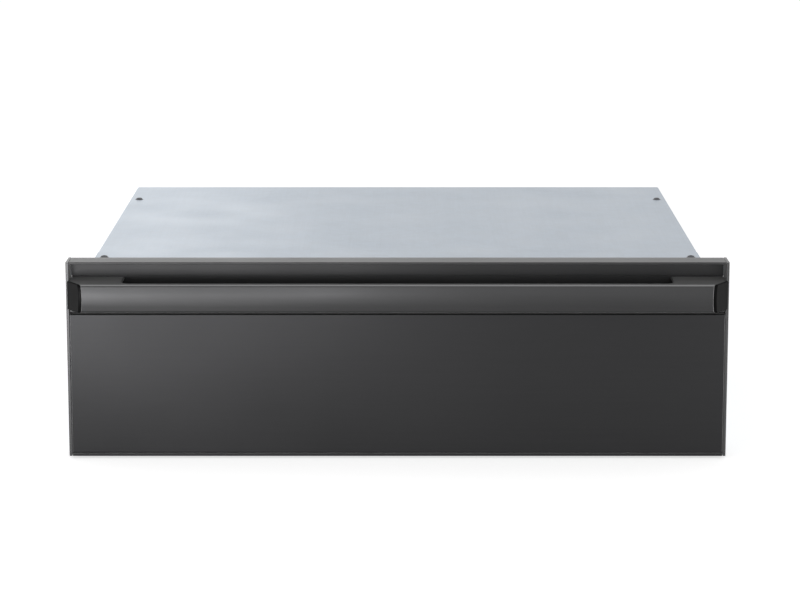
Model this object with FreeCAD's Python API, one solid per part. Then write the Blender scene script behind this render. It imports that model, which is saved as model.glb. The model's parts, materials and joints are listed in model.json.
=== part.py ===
# Built-in warming drawer, 30 inch class, as separate pieces in millimetres.
# X runs across the front, the front looks towards -Y, and +Z is up.
# The origin is at the floor, under the middle of the whole box.
import FreeCAD
import Part
import math
import os
from FreeCAD import Vector

# ---------------------------------------------------------------- driving sizes

# Drawer front ("door")
DOOR_WIDTH = 758.8
DOOR_HEIGHT = 227.6
DOOR_THICKNESS = 33.5
DOOR_FLOOR_GAP = 3.0
RIM_THICKNESS = 3.3
RIM_EDGE = 0.6
BOTTOM_RIM_GAP = 0.3
SKIN = 1.2
SKIN_BEND = 0.8
SEAM = 0.5
FILLING_SETBACK = 12.0
DOOR_SCREW_INSET = 9.0
DOOR_SCREW_LOW = 26.0
DOOR_SCREW_HIGH = 20.0

# Recess and handle, measured down from the door's top and back from its face
LIP_HEIGHT = 2.5
LIP_DEPTH = 23.2
RECESS_DEPTH = 28.0
RECESS_UNDERCUT = 2.0
SHADOW_GAP = 1.8
RAIL_WALL = 1.6
RAIL_BOTTOM = 58.4
RAIL_FOOT_GAP = 2.0
RAIL_TOP_GAP = 0.2
BAR_TOP = 22.0
BAR_HEIGHT = 32.6
BAR_PROJECTION = 24.5
BAR_NOSE = 11.0
BAR_WEB = 2.4
BAR_WALL = 2.2
BAR_ROUND = 3.0
BAR_FACE_SLOPE = 10.0
BAR_BACK_GAP = 0.4
BAR_END_INSET = 1.4
BAR_END_TAPER = 15.6
BAR_END_CAP = 3.5
BAR_END_LAND = 64.4
CUTOUT_ROUND = 9.5
CUTOUT_BEVEL = 0.8
SKIN_TOP = 60.0
SKIN_RETURN = 18.0
INNER_RETURN = 9.9

# Casing
FOOT_HEIGHT = 10.0
FOOT_RADIUS = 16.0
FOOT_SIDES = 16
FOOT_INSET = 42.0
FOOT_STUD = 5.0
CASING_SIDE_STEP = 26.9
CASING_TOP_STEP = 4.6
CASING_DEPTH = 570.0
GASKET_GAP = 4.0
SHEET = 1.2
SHEET_BEND = 1.3
CASING_FLANGE = 14.0
SIDE_TOP_FLANGE = 24.0
SIDE_FOOT_FLANGE = 10.0
SIDE_BACK_FLANGE = 22.0
SIDE_TAB_END = 12.0
BACK_INSET = 5.0
VENT_LENGTH = 46.0
VENT_HEIGHT = 3.4
VENT_PITCH = 9.0
VENT_ROWS = 5
VENT_COLUMNS = 4
VENT_COLUMN_GAP = 14.0
VENT_DROP = 48.0
FIT = 0.1

# Front frame
FRAME_PLATE = 1.5
FRAME_INSET = 7.0
FRAME_LIFT = 3.0
FRAME_FLANGE_INSET = 1.5
FRAME_TOP_FLANGE = 48.0
FRAME_HOLE_RADIUS = 2.25
FRAME_HOLE_EDGE = 9.0
FRAME_HOLE_SPACING = 110.0

# Heated liner and what surrounds it
LINER = 0.8
LINER_BEND = 4.0
SIDE_SPACE = 13.5
BASE_SPACE = 13.0
TOP_SPACE = 25.0
REAR_SPACE = 58.0
INSULATION_CLEARANCE = 0.3
INSULATION_EDGE_GAP = 0.9
INSULATION_FRONT_GAP = 6.0
INSULATION_FOOT_GAP = 2.0
FOOT_RELIEF = 6.0
BACK_INSULATION = 26.0
END_RELIEF = 7.0
CUTOUT_RELIEF = 17.0

# Telescopic slides: u runs from the liner wall to the drawer, v is up from the slide's middle
SLIDE_MIDDLE = 106.0
SLIDE_END_GAP = 2.0
SLIDE_THICKNESS = 12.7
SLIDE_SHEET = 1.2
SLIDE_BEND = 0.4
SLIDE_LIP = 1.8
BALL_RADIUS = 1.6
BALL_CLEARANCE = 0.1
BALL_PITCH = 30.0
BALLS_PER_ROW = 4
SLIDE_HEIGHT = 45.0
OUTER_RACE_WIDTH = 6.2
MEMBER_GAP = 0.5
CAGE_SHEET = 0.5
CAGE_GAP = 0.15
CAGE_EDGE_GAP = 0.4
CAGE_LENGTH = 112.0
CAGE_START = 190.0

# Drawer frame and pan
RAIL_HEIGHT = 79.0
RAIL_FLANGE = 12.5
RAIL_TOP = 148.0
RAIL_FRONT_GAP = 2.6
RAIL_FOOT = 8.0
CROSS_RAIL_DROP = 14.0
CROSS_RAIL_SHOULDER = 6.0
BRACKET_ACROSS = 34.0
BRACKET_ALONG = 40.0
BRACKET_LOW = 12.0
BRACKET_HIGH = 8.0
RIM_OVERHANG = 1.0
PAN_WALL = 1.0
PAN_RIM = 12.0
PAN_CORNER = 36.0
PAN_FOOT_BEVEL = 9.0
PAN_CLEARANCE = 3.0

# Heating element under the pan
ELEMENT_RADIUS = 3.25
ELEMENT_BEND = 26.0
ELEMENT_END_X = 27.0
ELEMENT_LIFT = 11.0
ELEMENT_SIDE_MARGIN = 112.0
ELEMENT_FRONT_MARGIN = 84.0
ELEMENT_REAR_MARGIN = 66.0
ELEMENT_TAIL = 14.0
SUPPORT_WIDTH = 22.0
SUPPORT_FOOT = 9.0
SUPPORT_FROM_BEND = 60.0
SUPPORT_ABOVE = 1.0
ELEMENT_TO_PAN = 3.75
REFLECTOR_MARGIN = 34.0
REFLECTOR_EDGE = 7.0

# Control strip on the front frame, above the opening
CONTROL_HALF = 150.0
CONTROL_HEIGHT = 13.6
CONTROL_BEZEL = 1.5
CONTROL_LIP = 2.0
CONTROL_WALL = 1.6
CONTROL_BODY_DEPTH = 24.0
CONTROL_CORNER = 1.5
CONTROL_WOOL_GAP = 4.0
BUTTON_NAMES = ("power", "low", "medium", "high", "timer")
BUTTON_WIDTH = 17.0
BUTTON_HEIGHT = 6.4
BUTTON_PROUD = 1.0
BUTTON_PITCH = 40.0
BUTTON_TRAVEL = 1.0
BUTTON_CLEARANCE = 0.25
BUTTON_COLLAR = 0.9
BUTTON_COLLAR_GAP = 0.2
BUTTON_STEM = (4.0, 3.0)
LENS_RADIUS = 1.7
LENS_BESIDE = 4.0
LENS_SINK = 0.2
SWITCH_SIZE = 6.0
SWITCH_HEIGHT = 3.5
BOARD = 1.6

# Gasket on the back of the drawer front
GASKET_WIDTH = 6.0
GASKET_SETBACK = 2.2
GASKET_CLEARANCE = 0.3

# Screws
SCREW_RADIUS = 2.0
SCREW_LENGTH = 8.0
SCREW_HEAD_RADIUS = 5.2
SCREW_HEAD_HEIGHT = 2.2
SCREW_HOLE_CLEARANCE = 0.05
SCREW_SHORT = 6.0
TOP_SCREW_INSET = 12.5
TOP_SCREW_REAR = 110.0
TOP_SCREW_FRONT = 9.5
SIDE_SCREW_END = 60.0
BACK_SCREW_END = 30.0
BACK_SCREW_INSET = 13.0
SMALL_HEAD_RADIUS = 3.6
SMALL_HEAD_HEIGHT = 1.6

# Electrical parts at the rear
BOX_WIDTH = 128.0
BOX_HEIGHT = 92.0
BOX_INSET = 12.0
BOX_GAP = 1.0
BLOCK_LEFT = 14.0
BLOCK_WIDTH = 46.0
BLOCK_DEPTH = 15.9
BLOCK_LIFT = 24.0
BLOCK_HEIGHT = 20.0
BLOCK_POLES = 3
BLOCK_PITCH = 15.0
BLOCK_MARGIN = 8.0
BLOCK_MOUTH = (4.8, 5.0)
GLAND_FROM_LEFT = 94.72
GLAND_LIFT = 34.0
GLAND_FLANGE = 1.0
GLAND_BORE = 4.5
GLAND_RADIUS = 8.0
GLAND_NUT_RADIUS = 11.0
GLAND_NUT = 3.0
GLAND_LENGTH = 17.0
PROBE_RADIUS = 2.4
PROBE_LENGTH = 60.0
PROBE_INSET = 90.0
PROBE_DROP = 14.0
PROBE_TAIL = 6.0
PROBE_PLATE = (20.0, 1.1, 16.0)
CUTOUT_DISC_RADIUS = 8.0
CUTOUT_DISC_HEIGHT = 10.0
CUTOUT_INSET = 250.0
CUTOUT_LIFT = 60.0
CUTOUT_FLANGE = (32.0, 1.0, 12.0)
CUTOUT_BLADE = (0.8, 8.0, 6.0)
CUTOUT_BLADE_PITCH = 8.0

# Sides of the small round pieces and holes that repeat, and how far a cutting tool runs past its work
ROUND_SIDES = 8
OVERRUN = 1.0
DEEP_OVERRUN = 5.0

# ---------------------------------------------------------------- derived places

DEPTH = BAR_PROJECTION + DOOR_THICKNESS + GASKET_GAP + CASING_DEPTH
DOOR_FACE = -DEPTH / 2 + BAR_PROJECTION
DOOR_BACK = DOOR_FACE + DOOR_THICKNESS
DOOR_HALF = DOOR_WIDTH / 2
DOOR_BOTTOM = DOOR_FLOOR_GAP
DOOR_TOP = DOOR_BOTTOM + DOOR_HEIGHT
RIM_INSIDE = DOOR_HALF - RIM_THICKNESS

FRAME_FACE = DOOR_BACK + GASKET_GAP
FRAME_BACK = FRAME_FACE + FRAME_PLATE
CASING_REAR = FRAME_FACE + CASING_DEPTH
CASING_HALF = DOOR_HALF - CASING_SIDE_STEP
CASING_BOTTOM = FOOT_HEIGHT
CASING_TOP = DOOR_TOP - CASING_TOP_STEP
CASING_FRONT = FRAME_BACK + SHEET_BEND
FRAME_TOP = CASING_TOP + FIT + FRAME_PLATE
SIDE_OUTSIDE = CASING_HALF - SHEET - FIT
BACK_FACE = CASING_REAR - BACK_INSET

LINER_HALF = CASING_HALF - SIDE_SPACE
LINER_BOTTOM = CASING_BOTTOM + BASE_SPACE
LINER_TOP = CASING_TOP - TOP_SPACE
LINER_FRONT = FRAME_BACK + FIT
LINER_BACK = CASING_REAR - REAR_SPACE

SLIDE_FACE = LINER_HALF - FIT
SLIDE_FRONT = LINER_FRONT + SLIDE_END_GAP
SLIDE_REAR = LINER_BACK - SLIDE_END_GAP
RAIL_FACE = SLIDE_FACE - SLIDE_THICKNESS - FIT
RAIL_FRONT = DOOR_BACK + RAIL_FRONT_GAP
RAIL_REAR = SLIDE_REAR
ELEMENT_LEVEL = LINER_BOTTOM + ELEMENT_LIFT
PAN_BOTTOM = ELEMENT_LEVEL + ELEMENT_RADIUS + ELEMENT_TO_PAN
PAN_SEAT = CASING_BOTTOM + RAIL_TOP
PAN_TOP = PAN_SEAT + PAN_WALL
PAN_HALF = RAIL_FACE - SHEET - PAN_CLEARANCE
PAN_FRONT = DOOR_BACK + SHEET + PAN_CLEARANCE
PAN_REAR = RAIL_REAR - SHEET - PAN_CLEARANCE

CONTROL_BOTTOM = CASING_TOP - CONTROL_LIP - CONTROL_HEIGHT
CONTROL_TOP = CONTROL_BOTTOM + CONTROL_HEIGHT
CONTROL_MIDDLE = (CONTROL_BOTTOM + CONTROL_TOP) / 2
BEZEL_FACE = FRAME_FACE - CONTROL_BEZEL
BOARD_FACE = FRAME_BACK + CONTROL_BODY_DEPTH - CONTROL_WALL - 2 * BOARD - SWITCH_HEIGHT

BOX_RIGHT = LINER_HALF - BOX_INSET
BOX_LEFT = BOX_RIGHT - BOX_WIDTH
BOX_BOTTOM = CASING_BOTTOM + SHEET + FIT
BOX_FRONT = LINER_BACK + LINER + BACK_INSULATION + BOX_GAP
GLAND_X = BOX_LEFT + GLAND_FROM_LEFT
GLAND_Z = BOX_BOTTOM + GLAND_LIFT

# ---------------------------------------------------------------- shaping tools

PLANES = {
    "x": lambda a, b, level: Vector(level, a, b),
    "y": lambda a, b, level: Vector(a, level, b),
    "z": lambda a, b, level: Vector(a, b, level),
}
NAMES = []


def export(name, *shapes):
    """Write one named piece, a single solid or a group of identical ones."""
    solids = [solid for shape in shapes for solid in shape.Solids]
    for solid in solids:
        if not solid.isValid() or solid.Volume <= 0:
            raise ValueError(name + " is not a sound solid")
    body = solids[0] if len(solids) == 1 else Part.makeCompound(solids)
    body.exportStep("parts/" + name + ".step")
    NAMES.append(name)


def box(x, y, z):
    """A block from its (low, high) limits on each axis."""
    return Part.makeBox(x[1] - x[0], y[1] - y[0], z[1] - z[0], Vector(x[0], y[0], z[0]))


def block(spot, size):
    """A block of (width, depth, height) whose front face has a spot at its middle."""
    return box((spot.x - size[0] / 2, spot.x + size[0] / 2), (spot.y, spot.y + size[1]),
               (spot.z - size[2] / 2, spot.z + size[2] / 2))


def outline(corners, axis, level):
    """A closed wire through (a, b) or (a, b, radius) corners, on the plane across an axis."""
    place = PLANES[axis]
    flat = [Vector(corner[0], corner[1], 0) for corner in corners]
    edges = []
    joints = []
    for i, corner in enumerate(corners):
        here = flat[i]
        into = (here - flat[i - 1]).normalize()
        out = (flat[(i + 1) % len(flat)] - here).normalize()
        radius = corner[2] if len(corner) > 2 else 0
        if radius:
            turn = into.getAngle(out)
            reach = radius * math.tan(turn / 2)
            inward = (out - into).normalize()
            middle = here + inward * (radius / math.cos(turn / 2) - radius)
            arc = [here - into * reach, middle, here + out * reach]
        else:
            arc = [here]
        joints.append([place(point.x, point.y, level) for point in arc])
    for i, arc in enumerate(joints):
        if len(arc) == 3:
            edges.append(Part.Arc(*arc).toShape())
        following = joints[(i + 1) % len(joints)]
        if arc[-1].distanceToPoint(following[0]) > 1e-6:
            edges.append(Part.LineSegment(arc[-1], following[0]).toShape())
    return Part.Wire(edges)


def prism(corners, axis, span):
    """A solid of one outline: (y, z) corners run along x, (x, z) along y, (x, y) along z."""
    face = Part.Face(outline(corners, axis, span[0]))
    solid = face.extrude(PLANES[axis](0, 0, span[1] - span[0]))
    if solid.Volume < 0:
        solid.reverse()
    return solid


def rectangle(a, b, radius=0):
    """Corners of a rectangle from (low, high) limits, all with one corner radius."""
    return [(a[0], b[0], radius), (a[1], b[0], radius), (a[1], b[1], radius), (a[0], b[1], radius)]


def folded(path, thickness, bend, axis, span):
    """Sheet metal folded along its mid line, with a round inside radius at each bend, or none."""
    points = [Vector(a, b, 0) for a, b in path]
    last = len(points) - 1
    sides = {1: [], -1: []}
    for i, here in enumerate(points):
        into = (here - points[i - 1]).normalize() if i > 0 else None
        out = (points[i + 1] - here).normalize() if i < last else None
        into = into or out
        out = out or into
        turn = math.atan2(into.cross(out).z, into.dot(out))
        normal = Vector(-into.y - out.y, into.x + out.x, 0).normalize()
        reach = thickness / 2 / math.cos(turn / 2)
        for side in sides:
            spot = here + normal * (side * reach)
            if abs(turn) < 1e-6 or bend is None:
                radius = 0
            elif turn * side > 0:
                radius = bend
            else:
                radius = bend + thickness
            sides[side].append((spot.x, spot.y, radius))
    return prism(sides[1] + sides[-1][::-1], axis, span)


def union(*shapes):
    """Fuse shapes and drop the seams between their flush faces."""
    whole = shapes[0]
    for shape in shapes[1:]:
        whole = whole.fuse(shape)
    return whole.removeSplitter()


def rod(radius, start, end):
    """A round bar between two points."""
    axis = end - start
    return Part.makeCylinder(radius, axis.Length, start, axis)


def polygon(radius, sides=ROUND_SIDES):
    """Corners of a regular polygon that a circle of this radius just fits in."""
    reach = radius / math.cos(math.pi / sides)
    turns = [2 * math.pi * (i + 0.5) / sides for i in range(sides)]
    return [(reach * math.cos(turn), reach * math.sin(turn)) for turn in turns]


def stud(radius, spot, direction, low, high, sides=ROUND_SIDES):
    """A many-sided bar through a spot, from `low` to `high` along a direction."""
    solid = prism(polygon(radius, sides), "z", (low, high))
    solid.Placement = FreeCAD.Placement(spot, FreeCAD.Rotation(Vector(0, 0, 1), direction))
    return solid


def screw(spot, direction, head_radius=SCREW_HEAD_RADIUS, head_height=SCREW_HEAD_HEIGHT,
          length=SCREW_LENGTH):
    """A screw whose head stands on a spot and whose shank runs into the sheet."""
    head = stud(head_radius, spot, direction, 0, head_height)
    shank = stud(SCREW_RADIUS, spot, direction, -length, head_height / 2)
    return head.fuse(shank)


def drill(shape, spots, direction, radius=SCREW_RADIUS + SCREW_HOLE_CLEARANCE, reach=20.0):
    """Cut a clearance hole through a sheet at each spot."""
    for spot in spots:
        shape = shape.cut(stud(radius, spot, direction, -reach, reach))
    return shape


def bore(shape, spots, direction, radius, reach=20.0):
    """Cut a true round hole at each spot."""
    for spot in spots:
        shape = shape.cut(rod(radius, spot - direction * reach, spot + direction * reach))
    return shape


def tube(points, radius, bend, level):
    """An eight-sided tube along a flat route with tangent arcs at its corners."""
    corners = [Vector(a, b, level) for a, b in points]
    edges = []
    start = corners[0]
    for before, here, after in zip(corners, corners[1:], corners[2:]):
        into = (here - before).normalize()
        out = (after - here).normalize()
        turn = into.getAngle(out)
        reach = bend * math.tan(turn / 2)
        inward = (out - into).normalize()
        middle = here + inward * (bend / math.cos(turn / 2) - bend)
        edges.append(Part.LineSegment(start, here - into * reach).toShape())
        edges.append(Part.Arc(here - into * reach, middle, here + out * reach).toShape())
        start = here + out * reach
    edges.append(Part.LineSegment(start, corners[-1]).toShape())
    section = Part.makePolygon([start_of_tube(corners[0], a, b) for a, b in closed(polygon(radius, 8))])
    return Part.Wire(edges).makePipeShell([section], True, False)


def start_of_tube(origin, a, b):
    """A point of a tube's section, for a route that sets off along Y."""
    return origin + Vector(a, 0, b)


def closed(corners):
    return corners + corners[:1]


# ---------------------------------------------------------------- screw places

def top_screw_spots():
    """Screws through the casing's top into the side flanges."""
    rows = (CASING_FRONT + TOP_SCREW_FRONT, CASING_REAR - TOP_SCREW_REAR)
    return [Vector(side * (CASING_HALF - TOP_SCREW_INSET), y, 0) for y in rows for side in (-1, 1)]


def side_screw_spots():
    """Screws through the base's flanges into the casing's sides."""
    rows = (CASING_FRONT + SIDE_SCREW_END, CASING_REAR - SIDE_SCREW_END)
    height = CASING_BOTTOM + CASING_FLANGE / 2 + SHEET
    return [Vector(0, y, height) for y in rows]


def back_screw_spots():
    """Screws through the back plate into the flanges of the sides."""
    rows = (CASING_BOTTOM + BACK_SCREW_END, CASING_TOP - BACK_SCREW_END)
    return [Vector(side * (SIDE_OUTSIDE - BACK_SCREW_INSET), 0, z) for z in rows for side in (-1, 1)]


def frame_hole_spots():
    """Holes through which the front frame is screwed to a cabinet."""
    middle = (LINER_BOTTOM + LINER_TOP) / 2
    x = DOOR_HALF - FRAME_INSET - FRAME_HOLE_EDGE
    rows = (middle - FRAME_HOLE_SPACING / 2, middle + FRAME_HOLE_SPACING / 2)
    return [Vector(side * x, 0, z) for z in rows for side in (-1, 1)]


def door_screw_spots():
    """Screws through the inner front, outside its gasket."""
    x = RIM_INSIDE - DOOR_SCREW_INSET
    rows = (DOOR_BOTTOM + DOOR_SCREW_LOW, DOOR_TOP - RAIL_BOTTOM - DOOR_SCREW_HIGH)
    return [Vector(side * x, DOOR_BACK, z) for z in rows for side in (-1, 1)]


def foot_spots():
    """Places of the four feet."""
    x = CASING_HALF - FOOT_INSET
    return [Vector(side * x, y, 0) for side in (-1, 1)
            for y in (CASING_FRONT + FOOT_INSET, CASING_REAR - FOOT_INSET)]


# ---------------------------------------------------------------- casing

def casing_cover(level, edge):
    """The top or base sheet, whose side edges fold over the casing's sides."""
    x = CASING_HALF - SHEET / 2
    path = [(-x, edge), (-x, level), (x, level), (x, edge)]
    return folded(path, SHEET, SHEET_BEND, "y", (CASING_FRONT, CASING_REAR))


def make_casing():
    """The galvanised outer casing."""
    top = casing_cover(CASING_TOP - SHEET / 2, CASING_TOP - CASING_FLANGE)
    top = drill(top, top_screw_spots_at(CASING_TOP), Vector(0, 0, 1))
    export("casing_top", top)

    base = casing_cover(CASING_BOTTOM + SHEET / 2, CASING_BOTTOM + CASING_FLANGE)
    base = drill(base, side_screw_spots(), Vector(1, 0, 0), reach=CASING_HALF + DEEP_OVERRUN)
    base = drill(base, foot_spots(), Vector(0, 0, 1))
    export("casing_base", base)

    for side, name in ((-1, "left"), (1, "right")):
        export("casing_side_" + name, casing_side(side))
    export("casing_back", casing_back())
    export("front_frame", front_frame())
    export("feet", *[foot(spot) for spot in foot_spots()])
    export("casing_screws", *casing_screws())


def top_screw_spots_at(level):
    return [Vector(spot.x, spot.y, level) for spot in top_screw_spots()]


def casing_side(side):
    """A side wall with a flange under the top, one on the base and one for the back plate."""
    x = SIDE_OUTSIDE - SHEET / 2
    low = CASING_BOTTOM + SHEET + FIT + SHEET / 2
    high = CASING_TOP - SHEET - FIT - SHEET / 2
    path = [(side * (x - SIDE_FOOT_FLANGE), low), (side * x, low), (side * x, high),
            (side * (x - SIDE_TOP_FLANGE), high)]
    wall = folded(path, SHEET, SHEET_BEND, "y", (CASING_FRONT, BACK_FACE - SHEET - FIT))
    tab_x = sorted((side * (SIDE_OUTSIDE - SHEET), side * (SIDE_OUTSIDE - SIDE_BACK_FLANGE)))
    tab_y = (BACK_FACE - 2 * SHEET - FIT, BACK_FACE - SHEET - FIT)
    tab = box(tab_x, tab_y, (low + SIDE_TAB_END, high - SIDE_TAB_END))
    wall = union(wall, tab)
    wall = drill(wall, top_screw_spots_at(CASING_TOP), Vector(0, 0, 1))
    wall = drill(wall, side_screw_spots(), Vector(1, 0, 0), reach=CASING_HALF + DEEP_OVERRUN)
    return drill(wall, [Vector(s.x, BACK_FACE, s.z) for s in back_screw_spots()], Vector(0, 1, 0),
                 reach=8.0)


def casing_back():
    """The back plate, set inside the rear edges, with its vents and the hole for the gland."""
    half = SIDE_OUTSIDE - SHEET_BEND
    plate = box((-half, half), (BACK_FACE - SHEET, BACK_FACE),
                (CASING_BOTTOM + SHEET + FIT, CASING_TOP - SHEET - FIT))
    spots = [Vector(s.x, BACK_FACE, s.z) for s in back_screw_spots()]
    plate = drill(plate, spots, Vector(0, 1, 0))
    gland = Vector(GLAND_X, BACK_FACE, GLAND_Z)
    plate = bore(plate, [gland], Vector(0, 1, 0), GLAND_RADIUS + FIT)
    for column in range(VENT_COLUMNS):
        x = (column - (VENT_COLUMNS - 1) / 2) * (VENT_LENGTH + VENT_COLUMN_GAP) - VENT_LENGTH / 2
        for row in range(VENT_ROWS):
            z = CASING_TOP - VENT_DROP - row * VENT_PITCH
            plate = plate.cut(box((x, x + VENT_LENGTH),
                                  (BACK_FACE - DEEP_OVERRUN, BACK_FACE + DEEP_OVERRUN),
                                  (z, z + VENT_HEIGHT)))
    return plate


def front_frame():
    """The frame round the opening, with screw holes at its sides and a flange over the casing's top."""
    half = DOOR_HALF - FRAME_INSET
    low = DOOR_BOTTOM + FRAME_LIFT
    high = FRAME_TOP
    middle = FRAME_FACE + FRAME_PLATE / 2
    path = [(middle, low), (middle, high - FRAME_PLATE / 2),
            (FRAME_FACE + FRAME_TOP_FLANGE, high - FRAME_PLATE / 2)]
    flange_half = CASING_HALF - FRAME_FLANGE_INSET
    flanged = folded(path, FRAME_PLATE, SHEET_BEND, "x", (-flange_half, flange_half))
    wings = box((-half, half), (FRAME_FACE, FRAME_BACK), (low, high - FRAME_PLATE - SHEET_BEND))
    frame = union(flanged, wings)
    opening = rectangle((-LINER_HALF, LINER_HALF), (LINER_BOTTOM, LINER_TOP), LINER_BEND)
    frame = frame.cut(prism(opening, "y", (FRAME_FACE - DEEP_OVERRUN, FRAME_BACK + DEEP_OVERRUN)))
    window = rectangle((-CONTROL_HALF + CONTROL_LIP, CONTROL_HALF - CONTROL_LIP),
                       (CONTROL_BOTTOM + CONTROL_LIP, CONTROL_TOP - CONTROL_LIP))
    frame = frame.cut(prism(window, "y", (FRAME_FACE - DEEP_OVERRUN, FRAME_BACK + DEEP_OVERRUN)))
    frame = drill(frame, top_screw_spots_at(high), Vector(0, 0, 1))
    holes = [Vector(spot.x, FRAME_FACE, spot.z) for spot in frame_hole_spots()]
    return bore(frame, holes, Vector(0, 1, 0), FRAME_HOLE_RADIUS)


def foot(spot):
    """A foot with a stud through the base."""
    pad = stud(FOOT_RADIUS, spot, Vector(0, 0, 1), 0, FOOT_HEIGHT, FOOT_SIDES)
    return pad.fuse(stud(SCREW_RADIUS, spot, Vector(0, 0, 1), FOOT_HEIGHT - OVERRUN, FOOT_HEIGHT + FOOT_STUD))


def casing_screws():
    """The screws that hold the casing's sheets together."""
    top = [screw(Vector(s.x, s.y, FRAME_TOP), Vector(0, 0, 1)) for s in top_screw_spots()[:2]]
    top += [screw(Vector(s.x, s.y, CASING_TOP), Vector(0, 0, 1)) for s in top_screw_spots()[2:]]
    sides = [screw(Vector(side * CASING_HALF, s.y, s.z), Vector(side, 0, 0), SMALL_HEAD_RADIUS,
                   SMALL_HEAD_HEIGHT, SCREW_SHORT) for s in side_screw_spots() for side in (-1, 1)]
    back = [screw(Vector(s.x, BACK_FACE, s.z), Vector(0, 1, 0), SMALL_HEAD_RADIUS,
                  SMALL_HEAD_HEIGHT, SCREW_SHORT) for s in back_screw_spots()]
    return top + sides + back


# ---------------------------------------------------------------- heated cavity

def make_liner():
    """The inner liner that the drawer runs in, and the insulation round it."""
    x = LINER_HALF + LINER / 2
    low = LINER_BOTTOM - LINER / 2
    path = [(-x, LINER_TOP), (-x, low), (x, low), (x, LINER_TOP)]
    shell = folded(path, LINER, LINER_BEND, "y", (LINER_FRONT, LINER_BACK + LINER))
    back = prism(rectangle((-LINER_HALF, LINER_HALF), (LINER_BOTTOM, LINER_TOP)), "y",
                 (LINER_BACK, LINER_BACK + LINER))
    shell = union(shell, back)
    shell = drill(shell, element_ends(), Vector(0, 1, 0), radius=ELEMENT_RADIUS + 3 * FIT, reach=12.0)
    shell = drill(shell, [probe_root()], Vector(0, 1, 0), radius=PROBE_RADIUS + FIT, reach=12.0)
    export("liner_shell", shell)

    edge = LINER_TOP + FIT + LINER / 2
    ceiling = box((-LINER_HALF - LINER, LINER_HALF + LINER), (LINER_FRONT, LINER_BACK + LINER),
                  (edge - LINER / 2, edge + LINER / 2))
    export("liner_ceiling", ceiling)


def make_insulation():
    """Mineral wool between the liner and the casing."""
    gap = INSULATION_CLEARANCE
    rear = LINER_BACK + LINER
    top_low = LINER_TOP + FIT + LINER + gap
    top_high = CASING_TOP - 2 * SHEET - FIT - gap
    front = FRAME_BACK + CONTROL_BODY_DEPTH + CONTROL_WOOL_GAP
    half = SIDE_OUTSIDE - SHEET / 2 - SIDE_TOP_FLANGE - INSULATION_EDGE_GAP
    export("insulation_top", box((-half, half), (front, rear), (top_low, top_high)))

    side_x = (LINER_HALF + LINER + gap, SIDE_OUTSIDE - SHEET - gap)
    side_z = (LINER_BOTTOM + INSULATION_FOOT_GAP, LINER_TOP)
    front = LINER_FRONT + INSULATION_FRONT_GAP
    right = box(side_x, (front, rear), side_z)
    left = box((-side_x[1], -side_x[0]), (front, rear), side_z)
    export("insulation_sides", left, right)

    half = SIDE_OUTSIDE - SHEET / 2 - SIDE_FOOT_FLANGE - INSULATION_EDGE_GAP
    base = box((-half, half), (front, rear),
               (CASING_BOTTOM + SHEET + gap, LINER_BOTTOM - LINER - gap))
    for spot in foot_spots():
        base = base.cut(box((spot.x - FOOT_RELIEF, spot.x + FOOT_RELIEF),
                            (spot.y - FOOT_RELIEF, spot.y + FOOT_RELIEF), (0, LINER_BOTTOM)))
    export("insulation_base", base)

    back = box((-LINER_HALF, LINER_HALF), (rear + gap, rear + BACK_INSULATION),
               (LINER_BOTTOM, LINER_TOP))
    reliefs = [(spot, END_RELIEF) for spot in element_ends() + [probe_root()]]
    for spot, half in reliefs + [(cutout_spot(), CUTOUT_RELIEF)]:
        back = back.cut(box((spot.x - half, spot.x + half), (rear, rear + BACK_INSULATION + OVERRUN),
                            (spot.z - half, spot.z + half)))
    export("insulation_back", back)


def element_route():
    """The flat route of the tubular element, a loop from one rear end to the other."""
    rear = LINER_BACK - ELEMENT_REAR_MARGIN
    front = LINER_FRONT + ELEMENT_FRONT_MARGIN
    side = LINER_HALF - ELEMENT_SIDE_MARGIN
    out = LINER_BACK + LINER + BACK_INSULATION + ELEMENT_TAIL
    half = [(ELEMENT_END_X, out), (ELEMENT_END_X, rear), (side, rear), (side, front)]
    return [(-x, y) for x, y in half] + half[::-1]


def element_ends():
    return [Vector(side * ELEMENT_END_X, LINER_BACK, ELEMENT_LEVEL) for side in (-1, 1)]


def probe_root():
    return Vector(-LINER_HALF + PROBE_INSET, LINER_BACK, LINER_TOP - PROBE_DROP)


def cutout_spot():
    return Vector(LINER_HALF - CUTOUT_INSET, LINER_BACK + LINER, LINER_BOTTOM + CUTOUT_LIFT)


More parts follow.
